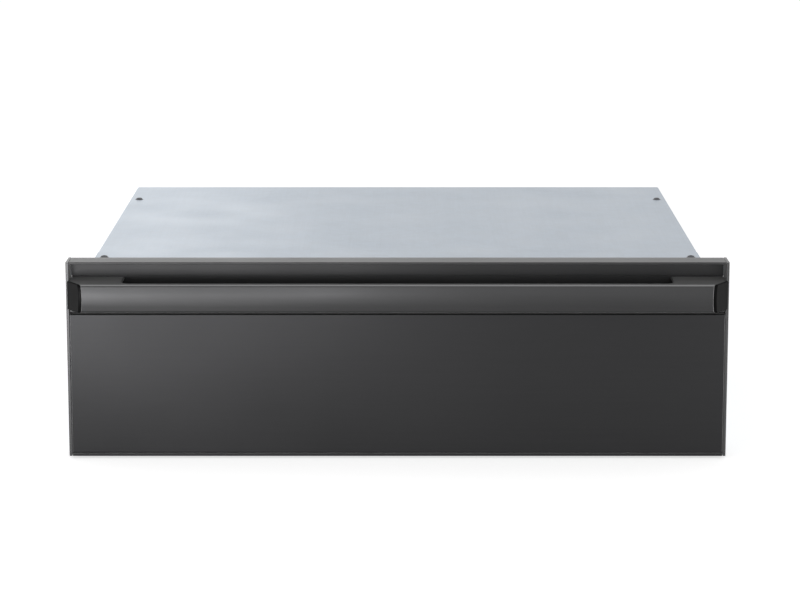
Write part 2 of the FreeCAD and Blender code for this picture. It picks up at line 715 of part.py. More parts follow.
def make_heater():
    """The element under the pan, its supports, the reflector, the sensor and the cut-out."""
    element = tube(element_route(), ELEMENT_RADIUS, ELEMENT_BEND, ELEMENT_LEVEL)
    if element.Volume < 0:
        element.reverse()
    export("heating_element", element)

    half = LINER_HALF - REFLECTOR_MARGIN
    floor = LINER_BOTTOM + FIT
    y = (LINER_FRONT + REFLECTOR_MARGIN, LINER_BACK - REFLECTOR_MARGIN)
    tray = folded([(-half, floor + REFLECTOR_EDGE), (-half, floor + LINER / 2),
                   (half, floor + LINER / 2), (half, floor + REFLECTOR_EDGE)],
                  LINER, LINER, "y", y)
    for edge in y:
        inner = edge + (LINER if edge == y[0] else -LINER)
        tray = tray.fuse(box((-half + 2 * LINER, half - 2 * LINER), sorted((edge, inner)),
                             (floor, floor + REFLECTOR_EDGE)))
    export("reflector_tray", tray.removeSplitter())

    base = floor + LINER + FIT
    x = LINER_HALF - ELEMENT_SIDE_MARGIN
    rows = (LINER_FRONT + ELEMENT_FRONT_MARGIN + SUPPORT_FROM_BEND,
            LINER_BACK - ELEMENT_REAR_MARGIN - SUPPORT_FROM_BEND)
    supports = [element_support(Vector(side * x, y, 0), base) for side in (-1, 1) for y in rows]
    export("element_supports", *supports)

    root = probe_root()
    stem = stud(PROBE_RADIUS, root, Vector(0, 1, 0), -PROBE_LENGTH, BACK_INSULATION + PROBE_TAIL)
    plate = block(root + Vector(0, -FIT - PROBE_PLATE[1], 0), PROBE_PLATE)
    export("temperature_probe", stem.fuse(plate).removeSplitter())

    spot = cutout_spot() + Vector(0, FIT, 0)
    disc = stud(CUTOUT_DISC_RADIUS, spot, Vector(0, 1, 0), 0, CUTOUT_DISC_HEIGHT)
    flange = block(spot, CUTOUT_FLANGE)
    blades = [block(spot + Vector(side * CUTOUT_BLADE_PITCH / 2, CUTOUT_DISC_HEIGHT, 0), CUTOUT_BLADE)
              for side in (-1, 1)]
    export("thermal_cutout", union(disc, flange, *blades))


def element_support(spot, base):
    """An angle of sheet with a notch that the element lies in."""
    top = ELEMENT_LEVEL + SUPPORT_ABOVE
    notch = ELEMENT_RADIUS + FIT
    web = box((spot.x - SUPPORT_WIDTH / 2, spot.x + SUPPORT_WIDTH / 2), (spot.y, spot.y + SHEET),
              (base, top))
    tab = box((spot.x - SUPPORT_WIDTH / 2, spot.x + SUPPORT_WIDTH / 2), (spot.y, spot.y + SUPPORT_FOOT),
              (base, base + SHEET))
    mouth = box((spot.x - notch, spot.x + notch), (spot.y - OVERRUN, spot.y + SHEET + OVERRUN),
                (ELEMENT_LEVEL - notch, top + OVERRUN))
    return union(web, tab).cut(mouth)


def make_rear_electrics():
    """The terminal box behind the liner, its block, and the gland for the supply cord."""
    y = (BOX_FRONT, BACK_FACE - SHEET - FIT)
    z = (BOX_BOTTOM, BOX_BOTTOM + BOX_HEIGHT)
    body = box((BOX_LEFT, BOX_RIGHT), y, z)
    inside = box((BOX_LEFT + SHEET, BOX_RIGHT - SHEET), (y[0] + SHEET, y[1] + OVERRUN),
                 (z[0] + SHEET, z[1] - SHEET))
    export("terminal_box", body.cut(inside))

    middle = Vector(BOX_LEFT + BLOCK_LEFT + BLOCK_WIDTH / 2, y[0] + SHEET + FIT,
                    BOX_BOTTOM + BLOCK_LIFT + BLOCK_HEIGHT / 2)
    terminals = block(middle, (BLOCK_WIDTH, BLOCK_DEPTH, BLOCK_HEIGHT))
    for pole in range(BLOCK_POLES):
        x = BOX_LEFT + BLOCK_LEFT + BLOCK_MARGIN + pole * BLOCK_PITCH
        mouth = Vector(x, middle.y + BLOCK_MOUTH[1], middle.z)
        terminals = terminals.cut(block(mouth, (*BLOCK_MOUTH, BLOCK_HEIGHT + OVERRUN)))
    export("terminal_block", terminals)

    inside = BACK_FACE - GLAND_LENGTH
    spot = Vector(GLAND_X, 0, GLAND_Z)
    body = rod(GLAND_RADIUS, spot + Vector(0, inside, 0), spot + Vector(0, BACK_FACE + GLAND_FLANGE, 0))
    nut = stud(GLAND_NUT_RADIUS, spot, Vector(0, 1, 0), BACK_FACE + FIT, BACK_FACE + FIT + GLAND_NUT, 6)
    gland = bore(body.fuse(nut), [spot], Vector(0, 1, 0), GLAND_BORE, reach=DEPTH)
    export("cord_gland", gland)


# ---------------------------------------------------------------- control strip

def button_x(index):
    return (index - (len(BUTTON_NAMES) - 1) / 2) * BUTTON_PITCH


def lens_spots():
    return [Vector(button_x(i) + BUTTON_PITCH / 2 - LENS_BESIDE, 0, CONTROL_MIDDLE)
            for i in range(len(BUTTON_NAMES))]


def make_controls():
    """The control strip that shows above the opening when the drawer is out."""
    bezel = prism(rectangle((-CONTROL_HALF, CONTROL_HALF), (CONTROL_BOTTOM, CONTROL_TOP),
                            CONTROL_CORNER), "y", (BEZEL_FACE, FRAME_FACE))
    half_w = BUTTON_WIDTH / 2 + BUTTON_CLEARANCE
    half_h = BUTTON_HEIGHT / 2 + BUTTON_CLEARANCE
    for i in range(len(BUTTON_NAMES)):
        x = button_x(i)
        bezel = bezel.cut(box((x - half_w, x + half_w), (BEZEL_FACE - OVERRUN, FRAME_FACE + OVERRUN),
                              (CONTROL_MIDDLE - half_h, CONTROL_MIDDLE + half_h)))
    spots = [Vector(s.x, BEZEL_FACE, s.z) for s in lens_spots()]
    bezel = drill(bezel, spots, Vector(0, 1, 0), radius=LENS_RADIUS + FIT)
    export("control_bezel", bezel)

    y = (FRAME_BACK + FIT, FRAME_BACK + CONTROL_BODY_DEPTH)
    z = (LINER_TOP + LINER + 2 * FIT, CONTROL_TOP - CONTROL_LIP + CONTROL_WALL)
    x = CONTROL_HALF + CONTROL_WALL
    body = box((-x, x), y, z)
    hollow = box((-x + CONTROL_WALL, x - CONTROL_WALL), (y[0] - OVERRUN, y[1] - CONTROL_WALL),
                 (z[0] + CONTROL_WALL, z[1] - CONTROL_WALL))
    export("control_housing", body.cut(hollow))

    board = box((-CONTROL_HALF + FIT, CONTROL_HALF - FIT),
                (BOARD_FACE + SWITCH_HEIGHT, BOARD_FACE + SWITCH_HEIGHT + BOARD),
                (z[0] + CONTROL_WALL + FIT, z[1] - CONTROL_WALL - FIT))
    parts = [board]
    for i in range(len(BUTTON_NAMES)):
        spot = Vector(button_x(i), BOARD_FACE, CONTROL_MIDDLE)
        parts.append(block(spot, (SWITCH_SIZE, SWITCH_HEIGHT + BOARD / 2, SWITCH_SIZE)))
    export("control_board", union(*parts))

    length = BOARD_FACE + SWITCH_HEIGHT - FIT - BEZEL_FACE
    lenses = [stud(LENS_RADIUS, s, Vector(0, 1, 0), LENS_SINK, length) for s in spots]
    export("indicator_lenses", *lenses)

    for i, name in enumerate(BUTTON_NAMES):
        export("button_" + name, button(button_x(i)))


def button(x):
    """A push button: a cap through the bezel, a collar behind it and a stem to its switch."""
    front = BEZEL_FACE - BUTTON_PROUD
    z = CONTROL_MIDDLE
    behind = FRAME_FACE + BUTTON_COLLAR_GAP
    cap = block(Vector(x, front, z), (BUTTON_WIDTH, behind - front, BUTTON_HEIGHT))
    collar = block(Vector(x, behind, z), (BUTTON_WIDTH + 2 * BUTTON_COLLAR, BUTTON_COLLAR,
                                          BUTTON_HEIGHT + 2 * BUTTON_COLLAR))
    reach = BOARD_FACE - BUTTON_TRAVEL - BUTTON_COLLAR_GAP - behind
    stem = block(Vector(x, behind, z), (BUTTON_STEM[0], reach, BUTTON_STEM[1]))
    return union(cap, collar, stem)


# ---------------------------------------------------------------- telescopic slides

# Heights of the flanges' mid lines and of the two rows of balls between them
RACE = 2 * (BALL_RADIUS + BALL_CLEARANCE)
OUTER_FLANGE = (SLIDE_HEIGHT - SLIDE_SHEET) / 2
MIDDLE_FLANGE = OUTER_FLANGE - SLIDE_SHEET - RACE
INNER_FLANGE = MIDDLE_FLANGE - SLIDE_SHEET - RACE
OUTER_RACE = (OUTER_FLANGE + MIDDLE_FLANGE) / 2
INNER_RACE = (MIDDLE_FLANGE + INNER_FLANGE) / 2

# Mid lines of the webs and of the flanges' free edges, counted from the liner wall
OUTER_WEB = SLIDE_SHEET / 2
OUTER_CAGE_WEB = SLIDE_SHEET + CAGE_GAP + CAGE_SHEET / 2
MIDDLE_WEB = SLIDE_SHEET + 2 * CAGE_GAP + CAGE_SHEET + SLIDE_SHEET / 2
INNER_CAGE_WEB = MIDDLE_WEB + SLIDE_SHEET / 2 + CAGE_GAP + CAGE_SHEET / 2
INNER_EDGE = INNER_CAGE_WEB + CAGE_SHEET / 2 + CAGE_GAP + SLIDE_SHEET / 2
INNER_WEB = SLIDE_THICKNESS - SLIDE_SHEET / 2
MIDDLE_EDGE = INNER_WEB - SLIDE_SHEET - MEMBER_GAP
OUTER_EDGE = OUTER_WEB + SLIDE_SHEET + OUTER_RACE_WIDTH
OUTER_BALL = (OUTER_WEB + OUTER_EDGE) / 2
INNER_BALL = (INNER_EDGE + MIDDLE_EDGE) / 2


def channel(side, web, edge, flange, lip, thickness, span, bend=SLIDE_BEND):
    """A C-shaped slide member or ball cage: web and flange tips as u, flange height and lip as v."""
    middle = CASING_BOTTOM + SLIDE_MIDDLE
    half = [(web, flange), (edge, flange)]
    if lip:
        half.append((edge, flange + lip))
    path = [(u, v) for u, v in half[::-1]] + [(u, -v) for u, v in half]
    path = [(side * (SLIDE_FACE - u), middle + v) for u, v in path]
    return folded(path, thickness, bend, "y", span)


def ball(spot):
    """A ball drawn as the 26-sided body that three octagonal bars share."""
    bars = [stud(BALL_RADIUS, spot, axis, -BALL_RADIUS, BALL_RADIUS, 8)
            for axis in (Vector(1, 0, 0), Vector(0, 1, 0), Vector(0, 0, 1))]
    return bars[0].common(bars[1]).common(bars[2])


def ball_cage(side, web, edge, race, ball_u, start):
    """A strip of retainer with two rows of balls, each ball free in its own window."""
    strip = channel(side, web, edge, race, 0, CAGE_SHEET, (start, start + CAGE_LENGTH), None)
    middle = CASING_BOTTOM + SLIDE_MIDDLE
    x = side * (SLIDE_FACE - ball_u)
    first = start + (CAGE_LENGTH - BALL_PITCH * (BALLS_PER_ROW - 1)) / 2
    half = BALL_RADIUS + BALL_CLEARANCE
    balls = []
    for i in range(BALLS_PER_ROW):
        y = first + i * BALL_PITCH
        strip = strip.cut(box((x - half, x + half), (y - half, y + half),
                              (middle - race - half, middle + race + half)))
        balls += [ball(Vector(x, y, middle + sign * race)) for sign in (-1, 1)]
    return [strip] + balls


def make_slides():
    """Two full-extension slides, each of three members with balls between them."""
    span = (SLIDE_FRONT, SLIDE_REAR)
    cage_start = SLIDE_FRONT + CAGE_START
    cage_reach = SLIDE_SHEET / 2 + CAGE_EDGE_GAP
    for side, name in ((-1, "left"), (1, "right")):
        members = {
            "outer": (OUTER_WEB, OUTER_EDGE, OUTER_FLANGE, -SLIDE_LIP),
            "middle": (MIDDLE_WEB, MIDDLE_EDGE, MIDDLE_FLANGE, -SLIDE_LIP),
            "inner": (INNER_WEB, INNER_EDGE, INNER_FLANGE, SLIDE_LIP),
        }
        for member, (web, edge, flange, lip) in members.items():
            export("slide_" + member + "_" + name,
                   channel(side, web, edge, flange, lip, SLIDE_SHEET, span))
        export("ball_cage_outer_" + name, *ball_cage(
            side, OUTER_CAGE_WEB, OUTER_EDGE - cage_reach, OUTER_RACE, OUTER_BALL, cage_start))
        export("ball_cage_inner_" + name, *ball_cage(
            side, INNER_CAGE_WEB, MIDDLE_EDGE - cage_reach, INNER_RACE, INNER_BALL, cage_start))


# ---------------------------------------------------------------- drawer front

def door_z(down):
    """Height of a line measured down from the drawer front's top."""
    return DOOR_TOP - down


def door_y(back):
    """Place of a line measured back from the drawer front's face."""
    return DOOR_FACE + back


def door_profile(corners):
    """Corners given as (back, down, radius) from the face and top, as (y, z, radius)."""
    return [(door_y(c[0]), door_z(c[1]), c[2] if len(c) > 2 else 0) for c in corners]


def make_door():
    """The drawer front: skin, rims, recess rail, handle, inner front and insulation."""
    inside = (-RIM_INSIDE + SEAM, RIM_INSIDE - SEAM)
    for side, name in ((-1, "left"), (1, "right")):
        x = sorted((side * RIM_INSIDE, side * DOOR_HALF))
        rim = prism(rectangle(x, (DOOR_FACE, DOOR_BACK), RIM_EDGE), "z", (DOOR_BOTTOM, DOOR_TOP))
        export("side_rim_" + name, rim)
        export("handle_end_" + name, handle_end(side))
    bottom = prism(rectangle((DOOR_FACE, DOOR_BACK),
                             (DOOR_BOTTOM, DOOR_BOTTOM + RIM_THICKNESS - BOTTOM_RIM_GAP), RIM_EDGE),
                   "x", inside)
    export("bottom_rim", bottom)

    skin_low = DOOR_BOTTOM + RIM_THICKNESS
    path = [(door_y(SKIN_RETURN), door_z(SKIN_TOP) - SKIN / 2),
            (door_y(SKIN / 2), door_z(SKIN_TOP) - SKIN / 2),
            (door_y(SKIN / 2), skin_low + SKIN / 2),
            (door_y(SKIN_RETURN), skin_low + SKIN / 2)]
    export("front_skin", folded(path, SKIN, SKIN_BEND, "x", inside))
    export("top_rail", top_rail(inside))
    export("handle_bar", handle_bar(inside))

    flange = DOOR_BACK - INNER_RETURN
    path = [(flange, DOOR_TOP - SKIN / 2), (DOOR_BACK - SKIN / 2, DOOR_TOP - SKIN / 2),
            (DOOR_BACK - SKIN / 2, skin_low + SKIN / 2), (flange, skin_low + SKIN / 2)]
    inner = folded(path, SKIN, SKIN_BEND, "x", inside)
    inner = drill(inner, door_screw_spots(), Vector(0, 1, 0), reach=DEEP_OVERRUN)
    export("inner_front", inner)

    filling = box((inside[0] + FILLING_SETBACK, inside[1] - FILLING_SETBACK),
                  (DOOR_FACE + SKIN + INSULATION_CLEARANCE, DOOR_BACK - SKIN - INSULATION_CLEARANCE),
                  (skin_low + SKIN + INSULATION_CLEARANCE, door_z(SKIN_TOP + SKIN) - INSULATION_CLEARANCE))
    export("front_insulation", filling)
    export("door_gasket", gasket())
    export("door_screws", *[screw(s, Vector(0, 1, 0), SMALL_HEAD_RADIUS, SMALL_HEAD_HEIGHT, SCREW_SHORT)
                            for s in door_screw_spots()])


def top_rail(inside):
    """The extruded rail: the lip along the top, the back of the recess and a foot behind the skin."""
    undercut = RECESS_DEPTH + RECESS_UNDERCUT
    back = undercut + RAIL_WALL
    step = SKIN + RAIL_TOP_GAP
    foot = SKIN + RAIL_FOOT_GAP
    corners = door_profile([
        (0, 0, 0.7), (LIP_DEPTH, 0, 0.3), (LIP_DEPTH, step), (back, step), (back, RAIL_BOTTOM),
        (foot, RAIL_BOTTOM), (foot, RAIL_BOTTOM - RAIL_WALL), (undercut, RAIL_BOTTOM - RAIL_WALL),
        (undercut, BAR_TOP - SHADOW_GAP), (RECESS_DEPTH, BAR_TOP - SHADOW_GAP, 0.4),
        (RECESS_DEPTH, LIP_HEIGHT, 1.5), (0, LIP_HEIGHT, 0.7),
    ])
    return prism(corners, "x", inside)


def bar_end(back, offset=0):
    """X of the bar's slanted end at a distance behind the door's face, drawn in by an offset."""
    return DOOR_HALF - BAR_END_INSET - offset + BAR_END_TAPER * back / BAR_PROJECTION


def bar_outline(wall, back, round_edge):
    """The bar's outline as (back, down, radius), with its gently arched face, set in by a wall."""
    slope = math.radians(BAR_FACE_SLOPE)
    side = BAR_HEIGHT / 2 / math.cos(slope)
    radius = (side - BAR_ROUND) / math.tan(slope)
    peak = wall - BAR_PROJECTION - radius * (1 / math.cos(slope) - 1)
    half = BAR_HEIGHT / 2 - wall
    shoulder = peak + half * math.tan(slope)
    middle = BAR_TOP + BAR_HEIGHT / 2
    return [(back, middle + half), (shoulder, middle + half, round_edge), (peak, middle, radius),
            (shoulder, middle - half, round_edge), (back, middle - half)]


def handle_bar(inside):
    """The extruded handle: a hollow nose, a top web with the finger cut-out, and a bottom web."""
    front = -BAR_PROJECTION
    nose_back = front + BAR_NOSE
    back = RECESS_DEPTH + RECESS_UNDERCUT - BAR_BACK_GAP
    low = BAR_TOP + BAR_HEIGHT
    section = bar_outline(0, back, BAR_ROUND) + [
        (back, BAR_TOP + BAR_WEB), (nose_back, BAR_TOP + BAR_WEB, 1.2),
        (nose_back, low - BAR_WEB, 1.2), (back, low - BAR_WEB),
    ]
    bar = prism(door_profile(section), "x", (-DOOR_HALF, DOOR_HALF))
    hollow = bar_outline(BAR_WALL, nose_back - BAR_WALL, 0)
    bar = bar.cut(prism(door_profile(hollow), "x", (-DOOR_HALF, DOOR_HALF)))

    z = (door_z(low) - OVERRUN, door_z(BAR_TOP) + OVERRUN)
    right = [(bar_end(front - OVERRUN, BAR_END_CAP + FIT), door_y(front) - OVERRUN),
             (bar_end(-FIT, BAR_END_CAP + FIT), door_y(-FIT)), (inside[1], door_y(-FIT)),
             (inside[1], door_y(back) + OVERRUN)]
    keep = prism(right + [(-x, y) for x, y in right[::-1]], "z", z)
    bar = bar.common(keep)

    half = DOOR_HALF - BAR_END_LAND
    edge = door_y(nose_back)
    cutout = prism([(-half, edge, CUTOUT_ROUND), (half, edge, CUTOUT_ROUND),
                    (half, door_y(back) + OVERRUN), (-half, door_y(back) + OVERRUN)], "z",
                   (door_z(BAR_TOP + BAR_WEB) - OVERRUN, door_z(BAR_TOP) + OVERRUN))
    bar = bar.cut(cutout).removeSplitter()
    rim = [e for e in bar.Edges if all(abs(v.Z - door_z(BAR_TOP)) < 0.01 and abs(v.X) < half + 0.01
                                       for v in e.Vertexes)
           and e.CenterOfMass.y > edge - 0.01 and e.CenterOfMass.y < door_y(back) - 0.01]
    return bar.makeChamfer(CUTOUT_BEVEL, rim)


def handle_end(side):
    """The slanted cap that closes one end of the handle bar."""
    front = -BAR_PROJECTION - OVERRUN
    corners = [(side * bar_end(-FIT), door_y(-FIT)), (side * bar_end(front), door_y(front)),
               (side * bar_end(front, BAR_END_CAP), door_y(front)),
               (side * bar_end(-FIT, BAR_END_CAP), door_y(-FIT))]
    slab = prism(corners, "z", (door_z(BAR_TOP + BAR_HEIGHT) - OVERRUN, door_z(BAR_TOP) + OVERRUN))
    reach = sorted((0, side * DOOR_HALF))
    return slab.common(prism(door_profile(bar_outline(0, 0, BAR_ROUND)), "x", reach))


def gasket():
    """The soft ring that closes on the front frame round the opening."""
    x = LINER_HALF + GASKET_SETBACK
    z = (LINER_BOTTOM - GASKET_SETBACK, LINER_TOP + GASKET_SETBACK)
    y = (DOOR_BACK, FRAME_FACE - GASKET_CLEARANCE)
    outer = prism(rectangle((-x - GASKET_WIDTH, x + GASKET_WIDTH), (z[0] - GASKET_WIDTH, z[1] + GASKET_WIDTH),
                            LINER_BEND + GASKET_WIDTH), "y", y)
    return outer.cut(prism(rectangle((-x, x), z, LINER_BEND), "y", (y[0] - OVERRUN, y[1] + OVERRUN)))


# ---------------------------------------------------------------- drawer frame and pan

def make_drawer_frame():
    """The rails that join the drawer front to the slides and carry the pan."""
    top = PAN_SEAT - SHEET / 2
    low = top - RAIL_HEIGHT
    x = RAIL_FACE - SHEET / 2
    tip = PAN_HALF - RAIL_FLANGE + PAN_CLEARANCE
    for side, name in ((-1, "left"), (1, "right")):
        path = [(side * (x - RAIL_FOOT), low), (side * x, low), (side * x, top), (side * tip, top)]
        export("drawer_side_" + name, folded(path, SHEET, SHEET_BEND, "y", (RAIL_FRONT, RAIL_REAR)))

    cross = tip - FIT
    inner = RAIL_FACE - SHEET - FIT
    rear = RAIL_REAR - SHEET / 2
    path = [(rear, low + CROSS_RAIL_DROP), (rear, top), (PAN_REAR - PAN_RIM + RIM_OVERHANG, top)]
    rear_rail = folded(path, SHEET, SHEET_BEND, "x", (-cross, cross))
    web = box((-inner, inner), (rear - SHEET / 2, rear + SHEET / 2),
              (low + CROSS_RAIL_DROP, top - CROSS_RAIL_SHOULDER))
    export("drawer_rear_rail", union(rear_rail, web))

    front = DOOR_BACK + SHEET / 2
    path = [(front, low + CROSS_RAIL_DROP), (front, top), (PAN_FRONT + PAN_RIM - RIM_OVERHANG, top)]
    export("drawer_front_rail", folded(path, SHEET, SHEET_BEND, "x", (-cross, cross)))

    brackets = []
    for side in (-1, 1):
        at = side * (RAIL_FACE - SHEET - FIT - SHEET / 2)
        path = [(side * (RAIL_FACE - BRACKET_ACROSS), front + SHEET + FIT), (at, front + SHEET + FIT),
                (at, front + BRACKET_ALONG)]
        brackets.append(folded(path, SHEET, SHEET_BEND, "z", (low + BRACKET_LOW, top - BRACKET_HIGH)))
    export("front_brackets", *brackets)


def pan_form(half, front, rear, low, high, corner):
    """A tub shape with round upright corners and a bevelled foot."""
    tub = prism(rectangle((-half, half), (front, rear), corner), "z", (low, high))
    foot_edges = [edge for edge in tub.Edges if all(abs(v.Z - low) < 0.01 for v in edge.Vertexes)]
    return tub.makeChamfer(PAN_FOOT_BEVEL, foot_edges)


def make_pan():
    """The deep-drawn pan, hung by its rim on the drawer frame."""
    half = PAN_HALF - PAN_RIM
    front = PAN_FRONT + PAN_RIM
    rear = PAN_REAR - PAN_RIM
    outside = pan_form(half, front, rear, PAN_BOTTOM, PAN_SEAT + PAN_WALL / 2, PAN_CORNER)
    rim = prism(rectangle((-PAN_HALF, PAN_HALF), (PAN_FRONT, PAN_REAR), PAN_CORNER - PAN_RIM * 2), "z",
                (PAN_SEAT, PAN_TOP))
    inside = pan_form(half - PAN_WALL, front + PAN_WALL, rear - PAN_WALL, PAN_BOTTOM + PAN_WALL,
                      PAN_TOP + DEEP_OVERRUN, PAN_CORNER - PAN_WALL)
    export("drawer_pan", union(outside, rim).cut(inside))


# ---------------------------------------------------------------- build

os.makedirs("parts", exist_ok=True)
make_casing()
make_liner()
make_insulation()
make_heater()
make_rear_electrics()
make_controls()
make_slides()
make_door()
make_drawer_frame()
make_pan()
print(len(NAMES), "pieces")
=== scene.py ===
"""Built-in warming drawer: the finish of its pieces, their fine detail, the light and the camera.

Everything is in metres, in the model's own frame: +X runs along the front, -Y points out of it.
"""

import json
import math

import bmesh
import bpy
from mathutils import Matrix, Vector

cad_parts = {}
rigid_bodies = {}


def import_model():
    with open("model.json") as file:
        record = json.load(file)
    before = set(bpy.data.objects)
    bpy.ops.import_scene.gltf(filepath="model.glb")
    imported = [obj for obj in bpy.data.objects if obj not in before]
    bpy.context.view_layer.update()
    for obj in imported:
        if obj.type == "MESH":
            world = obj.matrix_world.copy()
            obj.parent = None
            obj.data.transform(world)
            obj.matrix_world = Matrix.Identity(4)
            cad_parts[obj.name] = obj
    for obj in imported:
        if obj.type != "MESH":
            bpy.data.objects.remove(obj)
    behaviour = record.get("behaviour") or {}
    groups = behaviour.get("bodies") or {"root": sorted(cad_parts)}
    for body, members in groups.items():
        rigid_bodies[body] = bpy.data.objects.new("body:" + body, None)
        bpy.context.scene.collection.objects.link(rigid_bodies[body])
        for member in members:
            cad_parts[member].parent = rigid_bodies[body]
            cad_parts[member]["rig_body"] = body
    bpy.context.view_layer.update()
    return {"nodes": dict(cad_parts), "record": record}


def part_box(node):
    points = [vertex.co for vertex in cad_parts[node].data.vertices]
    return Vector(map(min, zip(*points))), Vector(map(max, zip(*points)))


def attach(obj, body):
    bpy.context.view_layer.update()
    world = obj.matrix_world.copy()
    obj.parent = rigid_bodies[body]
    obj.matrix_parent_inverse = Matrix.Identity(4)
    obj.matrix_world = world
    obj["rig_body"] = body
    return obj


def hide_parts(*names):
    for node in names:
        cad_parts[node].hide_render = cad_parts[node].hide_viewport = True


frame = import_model()

MM = 0.001

# ---------------------------------------------------------------- colours, as linear light

GRAPHITE = (0.0257, 0.0257, 0.0266)
# painted light: the handle bar's graphite, lighter than the panel's to stand in for the light its face
# catches
HANDLE_GRAPHITE_PAINTED_LIGHT = (0.0385, 0.0385, 0.0394)
# painted highlight: the side rims' graphite, lighter than the panel's to stand in for the light their narrow
# faces catch
RIM_GRAPHITE_PAINTED_HIGHLIGHT = (0.060, 0.060, 0.0612)
# painted light: the top rail's graphite, lighter and half lacquered to lift the shade in its recess and
# finger slot
CHANNEL_GRAPHITE_PAINTED_LIGHT = (0.042, 0.042, 0.0430)
# painted highlight: a light graphite for eased edges and folds, standing in for the light they catch
EDGE_HIGHLIGHT_PAINT = (0.210, 0.210, 0.213)
GALVANISED = (0.427, 0.470, 0.521)
STAINLESS = (0.560, 0.555, 0.545)
LINER_STEEL = (0.480, 0.475, 0.465)
ZINC = (0.600, 0.625, 0.650)
BALL_STEEL = (0.700, 0.705, 0.715)
DARK_SCREW = (0.110, 0.112, 0.118)
GLOSS_BLACK = (0.008, 0.008, 0.0085)
CAP_BLACK = (0.004, 0.004, 0.0042)
MOULDED_BLACK = (0.022, 0.022, 0.024)
SILICONE = (0.060, 0.060, 0.062)
FOOT_RUBBER = (0.020, 0.020, 0.021)
MINERAL_WOOL = (0.560, 0.480, 0.300)
SHEATH = (0.085, 0.075, 0.068)
BOARD_GREEN = (0.015, 0.110, 0.050)
AMBER = (0.900, 0.330, 0.030)
BUTTON_GREY = (0.160, 0.163, 0.168)
CERAMIC = (0.720, 0.700, 0.640)
MARK_WHITE = (0.700, 0.700, 0.700)


# ---------------------------------------------------------------- grain, in scratches per metre

ALONG_X = (22.0, 2400.0, 2400.0)
ALONG_Z = (2400.0, 2400.0, 22.0)
ROLLED_ALONG_Y = (900.0, 14.0, 900.0)


# ---------------------------------------------------------------- nodes

def place(tree, kind, wires=(), **settings):
    """One node. Wires go by an input's name or number: a socket is joined, a value is set."""
    made = tree.nodes.new(kind)
    for setting, value in settings.items():
        setattr(made, setting, value)
    for key, value in dict(wires).items():
        if isinstance(value, bpy.types.NodeSocket):
            tree.links.new(value, made.inputs[key])
        else:
            made.inputs[key].default_value = value
    return made


def reckon(tree, operation, *values):
    """The result of one sum on two or three numbers."""
    return place(tree, "ShaderNodeMath", dict(enumerate(values)), operation=operation).outputs[0]


SOCKETS = {"number": "NodeSocketFloat", "vector": "NodeSocketVector", "colour": "NodeSocketColor",
           "count": "NodeSocketInt", "shape": "NodeSocketGeometry", "finish": "NodeSocketMaterial",
           "pattern": "NodeSocketObject"}


def new_group(name, kind, inputs, outputs):
    """An empty node group with named sockets, given as (name, what it holds, value)."""
    tree = bpy.data.node_groups.new(name, kind)
    for label, holds, value in inputs:
        socket = tree.interface.new_socket(label, in_out="INPUT", socket_type=SOCKETS[holds])
        if value is not None:
            socket.default_value = value
    for label, holds in outputs:
        tree.interface.new_socket(label, in_out="OUTPUT", socket_type=SOCKETS[holds])
    return tree, tree.nodes.new("NodeGroupInput").outputs, tree.nodes.new("NodeGroupOutput").inputs


# ---------------------------------------------------------------- effects that finishes share

def brushed_grain():
    """Fine parallel scratches. Stretch counts scratches per metre along each axis."""
    tree, given, result = new_group("brushed grain", "ShaderNodeTree", [
        ("Vector", "vector", None), ("Stretch", "vector", (25.0, 2500.0, 2500.0)),
        ("Streaks", "number", 0.35)], [("Grain", "number")])
    drawn_out = place(tree, "ShaderNodeVectorMath", {0: given["Vector"], 1: given["Stretch"]},
                      operation="MULTIPLY").outputs[0]
    fine = place(tree, "ShaderNodeTexNoise", {"Vector": drawn_out, "Scale": 1.0, "Detail": 2.0})
    broad = place(tree, "ShaderNodeTexNoise", {"Vector": drawn_out, "Scale": 0.12, "Detail": 2.0})
    grain = place(tree, "ShaderNodeMix", {0: given["Streaks"], 2: fine.outputs["Fac"],
                                          3: broad.outputs["Fac"]}).outputs[0]
    tree.links.new(grain, result["Grain"])
    return tree


def cloud():
    """Slow, soft unevenness between two values, as from handling or rolling."""
    tree, given, result = new_group("cloud", "ShaderNodeTree", [
        ("Vector", "vector", None), ("Scale", "number", 6.0), ("Low", "number", 0.0),
        ("High", "number", 1.0)], [("Value", "number")])
    noise = place(tree, "ShaderNodeTexNoise", {"Vector": given["Vector"], "Scale": given["Scale"],
                                               "Detail": 3.0, "Roughness": 0.45})
    spread = place(tree, "ShaderNodeMapRange", {"Value": noise.outputs["Fac"], "From Min": 0.3,
                                                "From Max": 0.7, "To Min": given["Low"],
                                                "To Max": given["High"]})
    tree.links.new(spread.outputs[0], result["Value"])
    return tree


def spangle():
    """The crystals of hot-dip zinc, each with its own tone and a soft border."""
    tree, given, result = new_group("spangle", "ShaderNodeTree", [
        ("Vector", "vector", None), ("Crystals per Metre", "number", 110.0)],
        [("Tone", "number"), ("Height", "number")])
    bend = place(tree, "ShaderNodeTexNoise", {"Vector": given["Vector"], "Scale": 60.0, "Detail": 2.0})
    shift = place(tree, "ShaderNodeVectorMath", {0: bend.outputs["Color"], "Scale": 0.006},
                  operation="SCALE").outputs[0]
    bent = place(tree, "ShaderNodeVectorMath", {0: given["Vector"], 1: shift}, operation="ADD").outputs[0]
    cells = place(tree, "ShaderNodeTexVoronoi", {"Vector": bent, "Scale": given["Crystals per Metre"]})
    tone = place(tree, "ShaderNodeSeparateColor", {0: cells.outputs["Color"]}).outputs[0]
    tree.links.new(tone, result["Tone"])
    tree.links.new(cells.outputs["Distance"], result["Height"])
    return tree


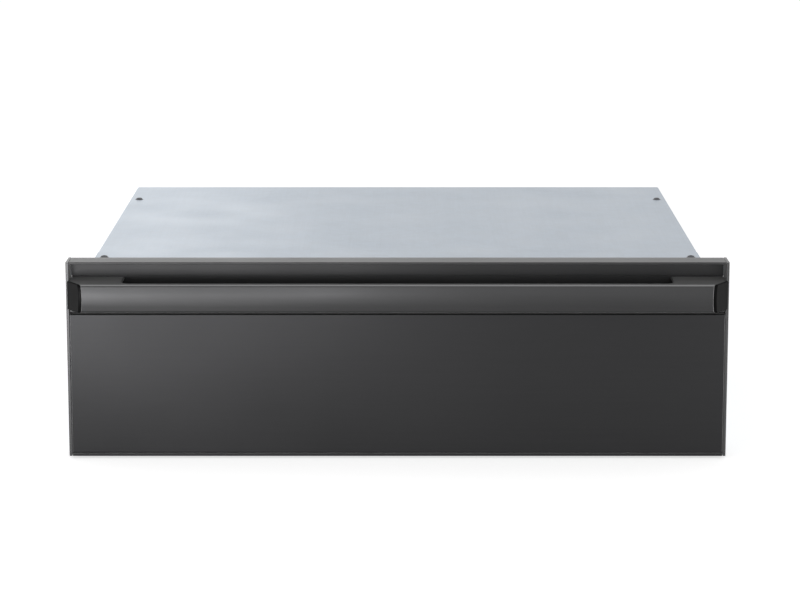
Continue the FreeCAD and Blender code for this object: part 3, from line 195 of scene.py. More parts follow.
def toned_colour():
    """A colour made lighter or darker by a tone around one half."""
    tree, given, result = new_group("toned colour", "ShaderNodeTree", [
        ("Colour", "colour", (0.5, 0.5, 0.5, 1.0)), ("Tone", "number", 0.5), ("Amount", "number", 0.1)],
        [("Colour", "colour")])
    away = reckon(tree, "SUBTRACT", given["Tone"], 0.5)
    twice = reckon(tree, "MULTIPLY", away, 2.0)
    factor = reckon(tree, "MULTIPLY_ADD", twice, given["Amount"], 1.0)
    lit = place(tree, "ShaderNodeVectorMath", {0: given["Colour"], "Scale": factor}, operation="SCALE")
    tree.links.new(lit.outputs[0], result["Colour"])
    return tree


def moulded_grain():
    """The fine pebbled skin that a mould leaves on plastic and rubber."""
    tree, given, result = new_group("moulded grain", "ShaderNodeTree", [
        ("Vector", "vector", None), ("Pebbles per Metre", "number", 1500.0)], [("Height", "number")])
    pebbles = place(tree, "ShaderNodeTexVoronoi", {"Vector": given["Vector"],
                                                   "Scale": given["Pebbles per Metre"]},
                    feature="SMOOTH_F1")
    noise = place(tree, "ShaderNodeTexNoise", {"Vector": given["Vector"],
                                               "Scale": given["Pebbles per Metre"], "Detail": 1.0})
    tree.links.new(reckon(tree, "ADD", pebbles.outputs["Distance"], noise.outputs["Fac"]),
                   result["Height"])
    return tree


def fibres():
    """Tangled fibres of pressed wool, in layers along the slab."""
    tree, given, result = new_group("fibres", "ShaderNodeTree", [
        ("Vector", "vector", None), ("Fibres per Metre", "number", 700.0)],
        [("Tone", "number"), ("Height", "number")])
    twist = place(tree, "ShaderNodeTexNoise", {"Vector": given["Vector"], "Scale": 90.0, "Detail": 2.0})
    shift = place(tree, "ShaderNodeVectorMath", {0: twist.outputs["Color"], "Scale": 0.02},
                  operation="SCALE").outputs[0]
    twisted = place(tree, "ShaderNodeVectorMath", {0: given["Vector"], 1: shift}, operation="ADD").outputs[0]
    drawn_out = place(tree, "ShaderNodeVectorMath", {0: twisted, 1: (0.25, 0.25, 1.0)},
                      operation="MULTIPLY").outputs[0]
    strands = place(tree, "ShaderNodeTexNoise", {"Vector": drawn_out, "Scale": given["Fibres per Metre"],
                                                 "Detail": 4.0, "Roughness": 0.7})
    tree.links.new(strands.outputs["Fac"], result["Height"])
    tree.links.new(strands.outputs["Fac"], result["Tone"])
    return tree


BRUSHED_GRAIN = brushed_grain()
CLOUD = cloud()
SPANGLE = spangle()
TONED_COLOUR = toned_colour()
MOULDED_GRAIN = moulded_grain()
FIBRES = fibres()


# ---------------------------------------------------------------- finishes

def effect(tree, group, wires=()):
    """One shared effect placed in a material. Returns its outputs."""
    return place(tree, "ShaderNodeGroup", wires, node_tree=group).outputs


def start_finish(name, **constants):
    """A material with its shader, the object's own coordinates and the plain values set."""
    material = bpy.data.materials.new(name)
    material.use_nodes = True
    tree = material.node_tree
    shader = tree.nodes["Principled BSDF"]
    for socket, value in constants.items():
        shader.inputs[socket.replace("_", " ")].default_value = value
    return material, tree, shader, tree.nodes.new("ShaderNodeTexCoord").outputs["Object"]


def raise_surface(tree, shader, height, distance):
    """Let a height map show as relief of a depth in metres."""
    bump = place(tree, "ShaderNodeBump", {"Height": height, "Distance": distance, "Strength": 1.0})
    tree.links.new(bump.outputs[0], shader.inputs["Normal"])


def opaque(colour):
    """A colour with full cover, as colour sockets take it."""
    return (*colour, 1.0)


SCRATCH_DEPTH = 0.00001
UNEVENNESS = 0.05


def brushed_metal(name, colour, stretch, roughness, amount, bare=1.0, **constants):
    """Sheet metal with a fine grain and slow changes in its sheen. Lacquer makes it less bare."""
    material, tree, shader, where = start_finish(name, Metallic=bare, **constants)
    grain = effect(tree, BRUSHED_GRAIN, {"Vector": where, "Stretch": stretch})["Grain"]
    tint = effect(tree, TONED_COLOUR, {"Colour": opaque(colour), "Tone": grain, "Amount": amount})
    tree.links.new(tint["Colour"], shader.inputs["Base Color"])
    sheen = effect(tree, CLOUD, {"Vector": where, "Scale": 5.0, "Low": roughness - UNEVENNESS,
                                 "High": roughness + UNEVENNESS})["Value"]
    tree.links.new(sheen, shader.inputs["Roughness"])
    raise_surface(tree, shader, grain, SCRATCH_DEPTH)
    return material


def galvanised(name, colour, roughness):
    """Zinc-coated sheet: faint crystals, rolling marks and a slight wave in the sheet."""
    material, tree, shader, where = start_finish(name, Metallic=1.0)
    crystals = effect(tree, SPANGLE, {"Vector": where})
    rolled = effect(tree, BRUSHED_GRAIN, {"Vector": where, "Stretch": ROLLED_ALONG_Y})["Grain"]
    tint = effect(tree, TONED_COLOUR, {"Colour": opaque(colour), "Tone": crystals["Tone"],
                                       "Amount": 0.045})["Colour"]
    tint = effect(tree, TONED_COLOUR, {"Colour": tint, "Tone": rolled, "Amount": 0.06})["Colour"]
    tree.links.new(tint, shader.inputs["Base Color"])
    sheen = effect(tree, CLOUD, {"Vector": where, "Scale": 9.0, "Low": roughness - UNEVENNESS,
                                 "High": roughness + UNEVENNESS})["Value"]
    facets = reckon(tree, "MULTIPLY_ADD", crystals["Tone"], 0.06, sheen)
    tree.links.new(facets, shader.inputs["Roughness"])
    wave = effect(tree, CLOUD, {"Vector": where, "Scale": 4.0})["Value"]
    raise_surface(tree, shader, wave, distance=0.00035)
    return material


def moulded(name, colour, roughness, pebbles=1500.0, relief=0.00003, **constants):
    """Moulded plastic or rubber with a fine pebbled skin."""
    material, tree, shader, where = start_finish(name, **constants)
    skin = effect(tree, MOULDED_GRAIN, {"Vector": where, "Pebbles per Metre": pebbles})["Height"]
    patches = effect(tree, CLOUD, {"Vector": where, "Scale": 40.0})["Value"]
    tint = effect(tree, TONED_COLOUR, {"Colour": opaque(colour), "Tone": patches, "Amount": 0.06})
    tree.links.new(tint["Colour"], shader.inputs["Base Color"])
    sheen = effect(tree, CLOUD, {"Vector": where, "Scale": 25.0, "Low": roughness - 0.04,
                                 "High": roughness + 0.04})["Value"]
    tree.links.new(sheen, shader.inputs["Roughness"])
    raise_surface(tree, shader, skin, relief)
    return material


def wool(name, colour):
    """Pressed mineral wool."""
    material, tree, shader, where = start_finish(name, Roughness=0.95, Sheen_Weight=0.15)
    strands = effect(tree, FIBRES, {"Vector": where})
    tint = effect(tree, TONED_COLOUR, {"Colour": opaque(colour), "Tone": strands["Tone"], "Amount": 0.9})
    tree.links.new(tint["Colour"], shader.inputs["Base Color"])
    raise_surface(tree, shader, strands["Height"], distance=0.0015)
    return material


SOFT_COAT = {"Sheen_Weight": 0.30, "Sheen_Roughness": 0.45}

FINISH = {
    "graphite_steel": brushed_metal("graphite steel", GRAPHITE, ALONG_X, 0.36, 0.10, **SOFT_COAT),
    "handle_graphite_painted_light": brushed_metal("handle graphite with painted light", HANDLE_GRAPHITE_PAINTED_LIGHT, ALONG_X, 0.36, 0.10, **SOFT_COAT),
    "channel_graphite_painted_light": brushed_metal("half-lacquered channel graphite with painted light", CHANNEL_GRAPHITE_PAINTED_LIGHT, ALONG_X, 0.42,
                                      0.10, bare=0.5, Specular_IOR_Level=0.15, Sheen_Weight=0.36,
                                      Sheen_Roughness=0.45),
    "rim_graphite_painted_highlight": brushed_metal("rim graphite with painted highlight", RIM_GRAPHITE_PAINTED_HIGHLIGHT, ALONG_Z, 0.38, 0.10, **SOFT_COAT),
    # painted highlight for the eased edges and folds of graphite pieces
    "painted_edge_highlight": brushed_metal("graphite edge with painted highlight", EDGE_HIGHLIGHT_PAINT, (40.0, 1200.0, 1200.0), 0.45, 0.10),
    "galvanised_steel": galvanised("galvanised steel", GALVANISED, 0.42),
    "stainless_steel": brushed_metal("stainless steel", STAINLESS, (900.0, 16.0, 900.0), 0.30, 0.10),
    "liner_steel": brushed_metal("liner steel", LINER_STEEL, (800.0, 14.0, 800.0), 0.36, 0.08),
    "slide_zinc": brushed_metal("zinc-plated slide", ZINC, (700.0, 20.0, 700.0), 0.26, 0.05),
    "dark_screw": brushed_metal("blackened screw", DARK_SCREW, (500.0, 500.0, 500.0), 0.38, 0.05),
    "ball_steel": brushed_metal("polished ball steel", BALL_STEEL, (400.0, 400.0, 400.0), 0.14, 0.03),
    "gloss_black": moulded("gloss black", GLOSS_BLACK, 0.16, 300.0, 0.000004, Specular_IOR_Level=0.25),
    "satin_black": moulded("satin black", CAP_BLACK, 0.30, 300.0, 0.000004, Specular_IOR_Level=0.03),
    "black_plastic": moulded("moulded black plastic", MOULDED_BLACK, 0.42),
    "silicone": moulded("silicone rubber", SILICONE, 0.55, 900.0, 0.00002),
    "foot_rubber": moulded("foot rubber", FOOT_RUBBER, 0.62, 900.0, 0.00005),
    "mineral_wool": wool("mineral wool", MINERAL_WOOL),
    "element_sheath": moulded("oxidised sheath", SHEATH, 0.48, 700.0, 0.00003, Metallic=0.8),
    "circuit_board": moulded("circuit board", BOARD_GREEN, 0.30, 500.0, 0.00001),
    "indicator_amber": moulded("amber lens", AMBER, 0.16, 300.0, 0.000004, Emission_Strength=0.35,
                                Emission_Color=(*AMBER, 1.0)),
    "button_grey": moulded("button grey", BUTTON_GREY, 0.38),
    "ceramic_white": moulded("glazed ceramic", CERAMIC, 0.18, 300.0, 0.00001, Coat_Weight=0.4),
    "printed_white": moulded("printed mark", MARK_WHITE, 0.45, 900.0, 0.000004),
}


def coat(thing, finish):
    """Give a piece one finish."""
    thing.data.materials.clear()
    thing.data.materials.append(FINISH[finish])
    return thing


# ---------------------------------------------------------------- shapes

def ring(half, y, radius, height, per_corner=10):
    """A level loop of points: a rectangle of half width and (front, rear) with round corners."""
    points = []
    corners = ((half - radius, y[1] - radius, 0), (radius - half, y[1] - radius, 1),
               (radius - half, y[0] + radius, 2), (half - radius, y[0] + radius, 3))
    for x_middle, y_middle, quarter in corners:
        for step in range(per_corner + 1):
            turn = math.pi / 2 * (quarter + step / per_corner)
            points.append(Vector((x_middle + radius * math.cos(turn),
                                  y_middle + radius * math.sin(turn), height)))
    return points


def skin_rings(form, rings, round_trip=False):
    """Join loops of equal length with faces. A round trip comes back to the first loop; otherwise
    the first and last loops are closed with a face each."""
    loops = [[form.verts.new(point) for point in points] for points in rings]
    pairs = list(zip(loops, loops[1:])) + ([(loops[-1], loops[0])] if round_trip else [])
    for first, second in pairs:
        for i, corner in enumerate(first):
            following = (i + 1) % len(first)
            form.faces.new((corner, first[following], second[following], second[i]))
    if not round_trip:
        form.faces.new(loops[0][::-1])
        form.faces.new(loops[-1])


def turned(profile, segments=32, lobes=0, depth=0.0, lobed=()):
    """A shape turned about Z from (radius, height) pairs. Rings listed in `lobed` have that many lobes."""
    form = bmesh.new()
    rings = []
    for index, (radius, height) in enumerate(profile):
        points = []
        for step in range(segments):
            turn = 2 * math.pi * step / segments
            reach = radius * (1 + depth * math.cos(lobes * turn)) if index in lobed else radius
            points.append(Vector((reach * math.cos(turn), reach * math.sin(turn), height)))
        rings.append(points)
    skin_rings(form, rings)
    return form


def settle(form):
    """Close doubles and turn every face outwards."""
    bmesh.ops.remove_doubles(form, verts=form.verts, dist=1e-7)
    bmesh.ops.recalc_face_normals(form, faces=form.faces)
    return form


def mesh_of(name, form, smooth_below=40.0):
    """A mesh from a finished form, smooth except at folds sharper than an angle in degrees."""
    mesh = bpy.data.meshes.new(name)
    settle(form).to_mesh(mesh)
    form.free()
    mesh.shade_smooth()
    mesh.set_sharp_from_angle(angle=math.radians(smooth_below))
    return mesh


def object_of(name, mesh):
    made = bpy.data.objects.new(name, mesh)
    bpy.context.scene.collection.objects.link(made)
    return made


def piece(name, mesh, body, finish, stands_for=()):
    """A finished mesh as a piece of the drawer: its finish, what it stands for and what it rides on."""
    made = object_of(name, mesh)
    if finish:
        coat(made, finish)
    if stands_for:
        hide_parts(*stands_for)
    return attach(made, body)


BODY_OF = {node: thing["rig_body"] for node, thing in frame["nodes"].items()}
SLOT_OF = {part["node"]: part["material_slot"] for part in frame["record"]["subparts"]}
# pieces that look different from the rest of their slot; the lighter graphites among them are painted light
OWN_FINISH = {
    "liner_shell": "liner_steel", "liner_ceiling": "liner_steel", "reflector_tray": "liner_steel",
    "element_supports": "liner_steel", "top_rail": "channel_graphite_painted_light", "handle_bar": "handle_graphite_painted_light",
    "side_rim_left": "rim_graphite_painted_highlight", "side_rim_right": "rim_graphite_painted_highlight",
    "handle_end_left": "satin_black", "handle_end_right": "satin_black",
}
# pieces whose sloping front fold is painted lighter as a highlight, as well as their edges
FOLDS_WITH_PAINTED_HIGHLIGHT = ("handle_bar",)


def form_of(node):
    """One of the model's pieces as a form to work on, with the corners of its faces joined."""
    form = bmesh.new()
    form.from_mesh(frame["nodes"][node].data)
    bmesh.ops.remove_doubles(form, verts=form.verts, dist=1e-6)
    return form


def eased_copy(node, edge):
    """A copy of one of the model's pieces with its sharp edges eased. On graphite pieces the eased edges,
    and the sloping folds listed above, are painted lighter as a highlight.
    """
    form = form_of(node)
    bmesh.ops.dissolve_limit(form, angle_limit=math.radians(0.5), verts=form.verts, edges=form.edges)
    mesh = bpy.data.meshes.new(node + "_eased")
    form.to_mesh(mesh)
    form.free()
    mesh.shade_smooth()
    eased = object_of(node + "_eased", mesh)
    bevel = eased.modifiers.new("eased edges", "BEVEL")
    bevel.width = edge
    bevel.segments = 2
    bevel.limit_method = "ANGLE"
    bevel.angle_limit = math.radians(35)
    bevel.use_clamp_overlap = False
    eased.modifiers.new("flat faces", "WEIGHTED_NORMAL").keep_sharp = True
    coat(eased, OWN_FINISH.get(node, SLOT_OF[node]))
    # the eased edges, and the sloping folds of the pieces above, get the painted highlight
    if SLOT_OF[node] == "graphite_steel":
        mesh.materials.append(FINISH["painted_edge_highlight"])
        bevel.material = 1
        for face in mesh.polygons:
            painted_highlight_fold = node in FOLDS_WITH_PAINTED_HIGHLIGHT and face.normal.y < -0.1 and face.normal.z > 0.5
            face.material_index = int(painted_highlight_fold)
    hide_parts(node)
    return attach(eased, BODY_OF[node])


def loose_parts(node):
    """The separate solids of one of the model's pieces, each as a list of its corners, in the
    order of their first corners, so that every run puts them in the same order."""
    form = form_of(node)
    reached = set()
    parts = []
    for start in form.verts:
        if start in reached:
            continue
        reached.add(start)
        found = [start]
        for here in found:
            beside = [bond.other_vert(here) for bond in here.link_edges]
            fresh = [vert for vert in beside if vert not in reached]
            reached.update(fresh)
            found.extend(fresh)
        parts.append([vert.co.copy() for vert in found])
    form.free()
    return parts


def limits(corners):
    """Lowest and highest corner of some points."""
    return (Vector([min(c[axis] for c in corners) for axis in range(3)]),
            Vector([max(c[axis] for c in corners) for axis in range(3)]))


# ---------------------------------------------------------------- node trees for what repeats

def grow(name, tree, base, sizes):
    """The plain mesh that a node tree makes of a base mesh, with the tree's inputs set by name."""
    shaped = object_of(name, base)
    modifier = shaped.modifiers.new("shape", "NODES")
    modifier.node_group = tree
    for item in tree.interface.items_tree:
        if item.in_out == "INPUT" and item.name in sizes:
            modifier[item.identifier] = sizes[item.name]
    graph = bpy.context.evaluated_depsgraph_get()
    mesh = bpy.data.meshes.new_from_object(shaped.evaluated_get(graph), depsgraph=graph)
    bpy.data.objects.remove(shaped)
    return mesh


def finish_tree(tree, shape, given, result):
    """Every tree's end: real geometry with one finish."""
    real = place(tree, "GeometryNodeRealizeInstances", {"Geometry": shape}).outputs[0]
    finished = place(tree, "GeometryNodeSetMaterial", {"Geometry": real, "Material": given["Finish"]})
    tree.links.new(finished.outputs[0], result["Shape"])
    return tree


def scatter_tree():
    """One pattern piece on every point, facing the point's own way and turned a little at random."""
    tree, given, result = new_group("one at each place", "GeometryNodeTree", [
        ("Places", "shape", None), ("Pattern", "pattern", None), ("Size", "number", 1.0),
        ("Random Turn", "number", 0.0), ("Seed", "count", 7), ("Finish", "finish", None)],
        [("Shape", "shape")])
    facing = place(tree, "GeometryNodeInputNamedAttribute", {"Name": "facing"},
                   data_type="FLOAT_VECTOR").outputs["Attribute"]
    pattern = place(tree, "GeometryNodeObjectInfo", {"Object": given["Pattern"]}).outputs["Geometry"]
    lean = place(tree, "FunctionNodeAlignRotationToVector", {"Vector": facing}, axis="Z").outputs[0]
    spin = place(tree, "FunctionNodeRandomValue", {"Max": given["Random Turn"], "Seed": given["Seed"]},
                 data_type="FLOAT")
    about = place(tree, "FunctionNodeAxisAngleToRotation", {"Axis": (0.0, 0.0, 1.0),
                                                            "Angle": spin.outputs["Value"]}).outputs[0]
    turn = place(tree, "FunctionNodeRotateRotation", {"Rotation": lean, "Rotate By": about},
                 rotation_space="LOCAL").outputs[0]
    placed = place(tree, "GeometryNodeInstanceOnPoints", {
        "Points": given["Places"], "Instance": pattern, "Rotation": turn, "Scale": given["Size"]})
    return finish_tree(tree, placed.outputs[0], given, result)


def tube_tree():
    """A round tube along a bent route, with a smooth arc at each corner."""
    tree, given, result = new_group("tube along a route", "GeometryNodeTree", [
        ("Route", "shape", None), ("Radius", "number", 0.003), ("Bend", "number", 0.02),
        ("Steps", "count", 12), ("Sides", "count", 20), ("Finish", "finish", None)],
        [("Shape", "shape")])
    curve = place(tree, "GeometryNodeMeshToCurve", {"Mesh": given["Route"]}).outputs[0]
    bent = place(tree, "GeometryNodeFilletCurve", {"Curve": curve, "Radius": given["Bend"],
                                                   "Count": given["Steps"]}, mode="POLY").outputs[0]
    section = place(tree, "GeometryNodeCurvePrimitiveCircle", {"Radius": given["Radius"],
                                                               "Resolution": given["Sides"]}).outputs[0]
    tube = place(tree, "GeometryNodeCurveToMesh", {"Curve": bent, "Profile Curve": section,
                                                   "Fill Caps": True}).outputs[0]
    return finish_tree(tree, tube, given, result)


def grid_tree():
    """Rows and columns of one pattern piece on an upright plane that faces the rear."""
    tree, given, result = new_group("rows and columns", "GeometryNodeTree", [
        ("Base", "shape", None), ("Pattern", "pattern", None), ("Columns", "count", 4),
        ("Rows", "count", 5), ("Column Pitch", "number", 0.06), ("Row Pitch", "number", 0.009),
        ("Middle", "vector", (0.0, 0.0, 0.0)), ("Finish", "finish", None)], [("Shape", "shape")])
    width = reckon(tree, "MULTIPLY", reckon(tree, "SUBTRACT", given["Columns"], 1.0), given["Column Pitch"])
    height = reckon(tree, "MULTIPLY", reckon(tree, "SUBTRACT", given["Rows"], 1.0), given["Row Pitch"])
    grid = place(tree, "GeometryNodeMeshGrid", {"Size X": width, "Size Y": height,
                                                "Vertices X": given["Columns"],
                                                "Vertices Y": given["Rows"]}).outputs[0]
    upright = place(tree, "GeometryNodeTransform", {"Geometry": grid, "Translation": given["Middle"],
                                                    "Rotation": (math.pi / 2, 0.0, 0.0)}).outputs[0]
    pattern = place(tree, "GeometryNodeObjectInfo", {"Object": given["Pattern"]}).outputs["Geometry"]
    placed = place(tree, "GeometryNodeInstanceOnPoints", {"Points": upright, "Instance": pattern})
    return finish_tree(tree, placed.outputs[0], given, result)


SCATTER = scatter_tree()
TUBE = tube_tree()
GRID = grid_tree()


def places_mesh(places):
    """Points with the way each one faces, given as (spot, direction)."""
    mesh = bpy.data.meshes.new("places")
    mesh.from_pydata([spot for spot, direction in places], [], [])
    facing = mesh.attributes.new("facing", "FLOAT_VECTOR", "POINT")
    for index, (spot, direction) in enumerate(places):
        facing.data[index].vector = direction
    return mesh


def scattered(name, pattern, places, body, finish, stands_for=(), turn=0.0, seed=7):
    """A piece made of one pattern mesh at each place."""
    sample = object_of(name + "_pattern", pattern)
    mesh = grow(name, SCATTER, places_mesh(places), {
        "Pattern": sample, "Random Turn": turn, "Seed": seed, "Finish": FINISH[finish]})
    bpy.data.objects.remove(sample)
    return piece(name, mesh, body, None, stands_for)


# ---------------------------------------------------------------- how each body and piece is finished

for node, thing in frame["nodes"].items():
    coat(thing, OWN_FINISH.get(node, SLOT_OF[node]))

# width of the eased edge in mm, and the pieces that get it
EASED = {
    0.4: ("front_skin", "front_frame", "control_bezel", "cord_gland", "terminal_block"),
    0.3: ("top_rail", "handle_bar", "handle_end_left", "handle_end_right", "side_rim_left",
          "side_rim_right", "bottom_rim", "inner_front", "casing_top", "casing_base",
          "casing_side_left", "casing_side_right", "casing_back", "drawer_side_left",
          "drawer_side_right", "drawer_rear_rail", "drawer_front_rail", "front_brackets"),
    0.2: ("slide_outer_left", "slide_outer_right", "slide_middle_left", "slide_middle_right",
          "slide_inner_left", "slide_inner_right", "button_power", "button_low", "button_medium",
          "button_high", "button_timer"),
}
for edge, nodes in EASED.items():
    for node in nodes:
        eased_copy(node, edge * MM)


# ---------------------------------------------------------------- screws, rivets, welds and ribs

BIG_HEAD = 5.2 * MM
BIG_HEAD_HEIGHT = 2.2 * MM
SMALL_HEAD = 3.6 * MM
SMALL_HEAD_HEIGHT = 1.6 * MM
BIG_FROM_RADIUS = 4.5 * MM


def screw_head(radius, height):
    """A flanged pan head with a six-lobed recess, standing on its seat."""
    shares = [(1.0, 0.0), (1.0, 0.10), (0.97, 0.17), (0.82, 0.24), (0.77, 0.32), (0.75, 0.60),
              (0.68, 0.84), (0.55, 0.97), (0.40, 1.0), (0.36, 0.96), (0.33, 0.40), (0.04, 0.32)]
    profile = [(radius * across, height * up) for across, up in shares]
    return mesh_of("screw_head", turned(profile, 36, 6, 0.15, (8, 9, 10)), 50)


def screw_seats(node):
    """Where each screw of a piece is seated, which way it faces and how big its head is. A screw
    lies along the axis in which its size differs most from the other two."""
    seats = []
    for corners in loose_parts(node):
        low, high = limits(corners)
        size = high - low
        axis = max(range(3), key=lambda i: abs(size[i] - (size[i - 1] + size[i - 2]) / 2))
        middle = (low + high) / 2
        radius = size[axis - 1] / 2
        out = Vector((0.0, 0.0, 0.0))
        out[axis] = 1.0 if middle[axis] > 0 else -1.0
        height = BIG_HEAD_HEIGHT if radius > BIG_FROM_RADIUS else SMALL_HEAD_HEIGHT
        seat = middle.copy()
        seat[axis] = (high if out[axis] > 0 else low)[axis] - out[axis] * height
        seats.append((seat, out, radius))
    return seats


def screws(node, body):
    """Detailed screws in the places of the model's plain ones."""
    seats = screw_seats(node)
    big = [(seat, out) for seat, out, radius in seats if radius > BIG_FROM_RADIUS]
    small = [(seat, out) for seat, out, radius in seats if radius <= BIG_FROM_RADIUS]
    if big:
        scattered(node + "_big", screw_head(BIG_HEAD, BIG_HEAD_HEIGHT), big, body,
                  "dark_screw", () if small else (node,), 1.0)
        ring_shares = [(7.4, 0.0), (7.0, 0.14), (6.4, 0.22), (5.8, 0.18), (5.4, 0.03)]
        pressed = mesh_of("pressed_ring", turned([(r * MM, h * MM) for r, h in ring_shares], 36))
        scattered(node + "_seats", pressed, big, body, "galvanised_steel")
    scattered(node + "_small", screw_head(SMALL_HEAD, SMALL_HEAD_HEIGHT), small, body,
              "slide_zinc", stands_for=(node,), turn=1.0, seed=3)


screws("casing_screws", "casing")
screws("door_screws", "drawer")

# how far from the middle the faces lie that carry the relief below
SIDE_FACE = 351.2 * MM
FOLD_FACE = 352.5 * MM
BACK_FACE = 311.0 * MM
RAIL_INSIDE = 324.9 * MM

SIDE_RIB_LENGTH = 0.430
SIDE_RIB_MIDDLE = 0.026
BACK_RIB_LENGTH = 0.120
BACK_RIB_HEIGHT = 0.105
RIVET_HEIGHT = 0.116


def dome(radius, height):
    """A low round head, such as a rivet's or a spot weld's."""
    shares = [(1.0, 0.0), (0.96, 0.35), (0.82, 0.68), (0.58, 0.90), (0.28, 0.99), (0.06, 1.0)]
    return mesh_of("dome", turned([(radius * across, height * up) for across, up in shares], 20))


def rib(length, width, height):
    """A long pressed stiffening rib with round ends, along Y."""
    form = bmesh.new()
    shares = [(1.0, 0.0), (0.90, 0.20), (0.72, 0.70), (0.52, 0.95), (0.30, 1.0)]
    rings = []
    for across, up in shares:
        half = width / 2 * across
        end = length / 2 - width / 2 + half
        rings.append(ring(half, (-end, end), half * 0.98, height * up, 8))
    skin_rings(form, rings)
    return mesh_of("rib", form, 60)


side_ribs = [((side * SIDE_FACE, SIDE_RIB_MIDDLE, z * MM), (side, 0.0, 0.0)) for side in (-1, 1)
             for z in (66.0, 112.0, 158.0)]
scattered("side_ribs", rib(SIDE_RIB_LENGTH, 15 * MM, 1.15 * MM), side_ribs, "casing",
          "galvanised_steel")
back_ribs = [((x * MM, BACK_FACE, BACK_RIB_HEIGHT), (0.0, 1.0, 0.0))
             for x in (-300, -250, -200, 175, 215)]
scattered("back_ribs", rib(BACK_RIB_LENGTH, 14 * MM, 1.6 * MM), back_ribs, "casing",
          "galvanised_steel")
welds = [((side * FOLD_FACE, y * MM, z), (side, 0.0, 0.0)) for side in (-1, 1)
         for y in range(-232, 300, 66) for z in (219.5 * MM, 15.0 * MM)]
scattered("spot_welds", dome(2.7 * MM, 0.14 * MM), welds, "casing", "galvanised_steel")
rivets = [((side * RAIL_INSIDE, y * MM, RIVET_HEIGHT), (-side, 0.0, 0.0)) for side in (-1, 1)
          for y in range(-214, 240, 72)]
scattered("rail_rivets", dome(3.4 * MM, 1.1 * MM), rivets, "drawer", "slide_zinc")


# ---------------------------------------------------------------- vents and cord gland at the rear

VENT_LENGTH = 46.0 * MM
VENT_MIDDLE = (0.0, BACK_FACE, 160.0 * MM)


def louvre():
    """A pressed hood over one vent slot, open below, with closed sloping ends."""
    section = [(0.0, 5.0), (1.5, 4.6), (2.8, 3.4), (3.5, 1.6), (3.6, 0.2),
               (2.9, 0.1), (2.8, 1.4), (2.2, 2.8), (1.1, 3.8), (0.0, 4.1)]
    half = VENT_LENGTH / 2 + 2.0 * MM
    form = bmesh.new()
    rings = []
    for x, rise in ((-half, 0.03), (-half + 0.0008, 0.45), (-half + 0.002, 0.80), (-half + 0.004, 1.0),
                    (half - 0.004, 1.0), (half - 0.002, 0.80), (half - 0.0008, 0.45), (half, 0.03)):
        rings.append([Vector((x, y * rise * MM, z * MM)) for y, z in section])
    skin_rings(form, rings)
    return mesh_of("louvre", form, 50)


def louvres():
    """Four columns of louvres, five in each, over the vents of the casing's back."""
    sample = object_of("louvre_pattern", louvre())
    mesh = grow("vent_louvres", GRID, bpy.data.meshes.new("empty"), {
        "Pattern": sample, "Columns": 4, "Rows": 5, "Column Pitch": 60 * MM, "Row Pitch": 9 * MM,
        "Middle": VENT_MIDDLE, "Finish": FINISH["galvanised_steel"]})
    bpy.data.objects.remove(sample)
    piece("vent_louvres", mesh, "casing", None)


louvres()


COLLAR_RIBS = 24
COLLAR_STEPS = 120


def gland_collar():
    """The ribbed collar of the cord gland, open through its middle."""
    low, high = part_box("cord_gland")
    middle = Vector(((low.x + high.x) / 2, 0.0, (low.z + high.z) / 2))
    profile = [(4.55, 0.0), (8.6, 0.0), (9.0, 0.3), (9.0, 1.2), (8.4, 1.7), (6.0, 1.85), (5.0, 1.6),
               (4.55, 1.2)]
    form = bmesh.new()
    rings = []
    for index, (radius, up) in enumerate(profile):
        points = []
        for step in range(COLLAR_STEPS):
            turn = 2 * math.pi * step / COLLAR_STEPS
            ribbed = 1 + 0.035 * math.cos(COLLAR_RIBS * turn) if index in (1, 2, 3) else 1
            reach = radius * ribbed
            points.append(Vector((middle.x + reach * math.cos(turn) * MM, high.y + up * MM,
                                  middle.z + reach * math.sin(turn) * MM)))
        rings.append(points)
    skin_rings(form, rings, True)
    piece("gland_collar", mesh_of("gland_collar", form, 45), "casing", "black_plastic")


gland_collar()


# ---------------------------------------------------------------- feet

def feet():
    """Moulded feet with a rounded tread."""
    profile = [(3.4, 2.6), (4.0, 2.3), (4.5, 0.2), (14.4, 0.0), (15.4, 0.35), (16.0, 1.2), (15.5, 7.6),
               (14.9, 9.2), (14.0, 10.0)]
    places = []
    for corners in loose_parts("feet"):
        low, high = limits(corners)
        places.append((((low.x + high.x) / 2, (low.y + high.y) / 2, low.z), (0.0, 0.0, 1.0)))
    pattern = mesh_of("foot", turned([(r * MM, h * MM) for r, h in profile], 48))
    scattered("moulded_feet", pattern, places, "casing", "foot_rubber", stands_for=("feet",))


feet()


# ---------------------------------------------------------------- heated drawer

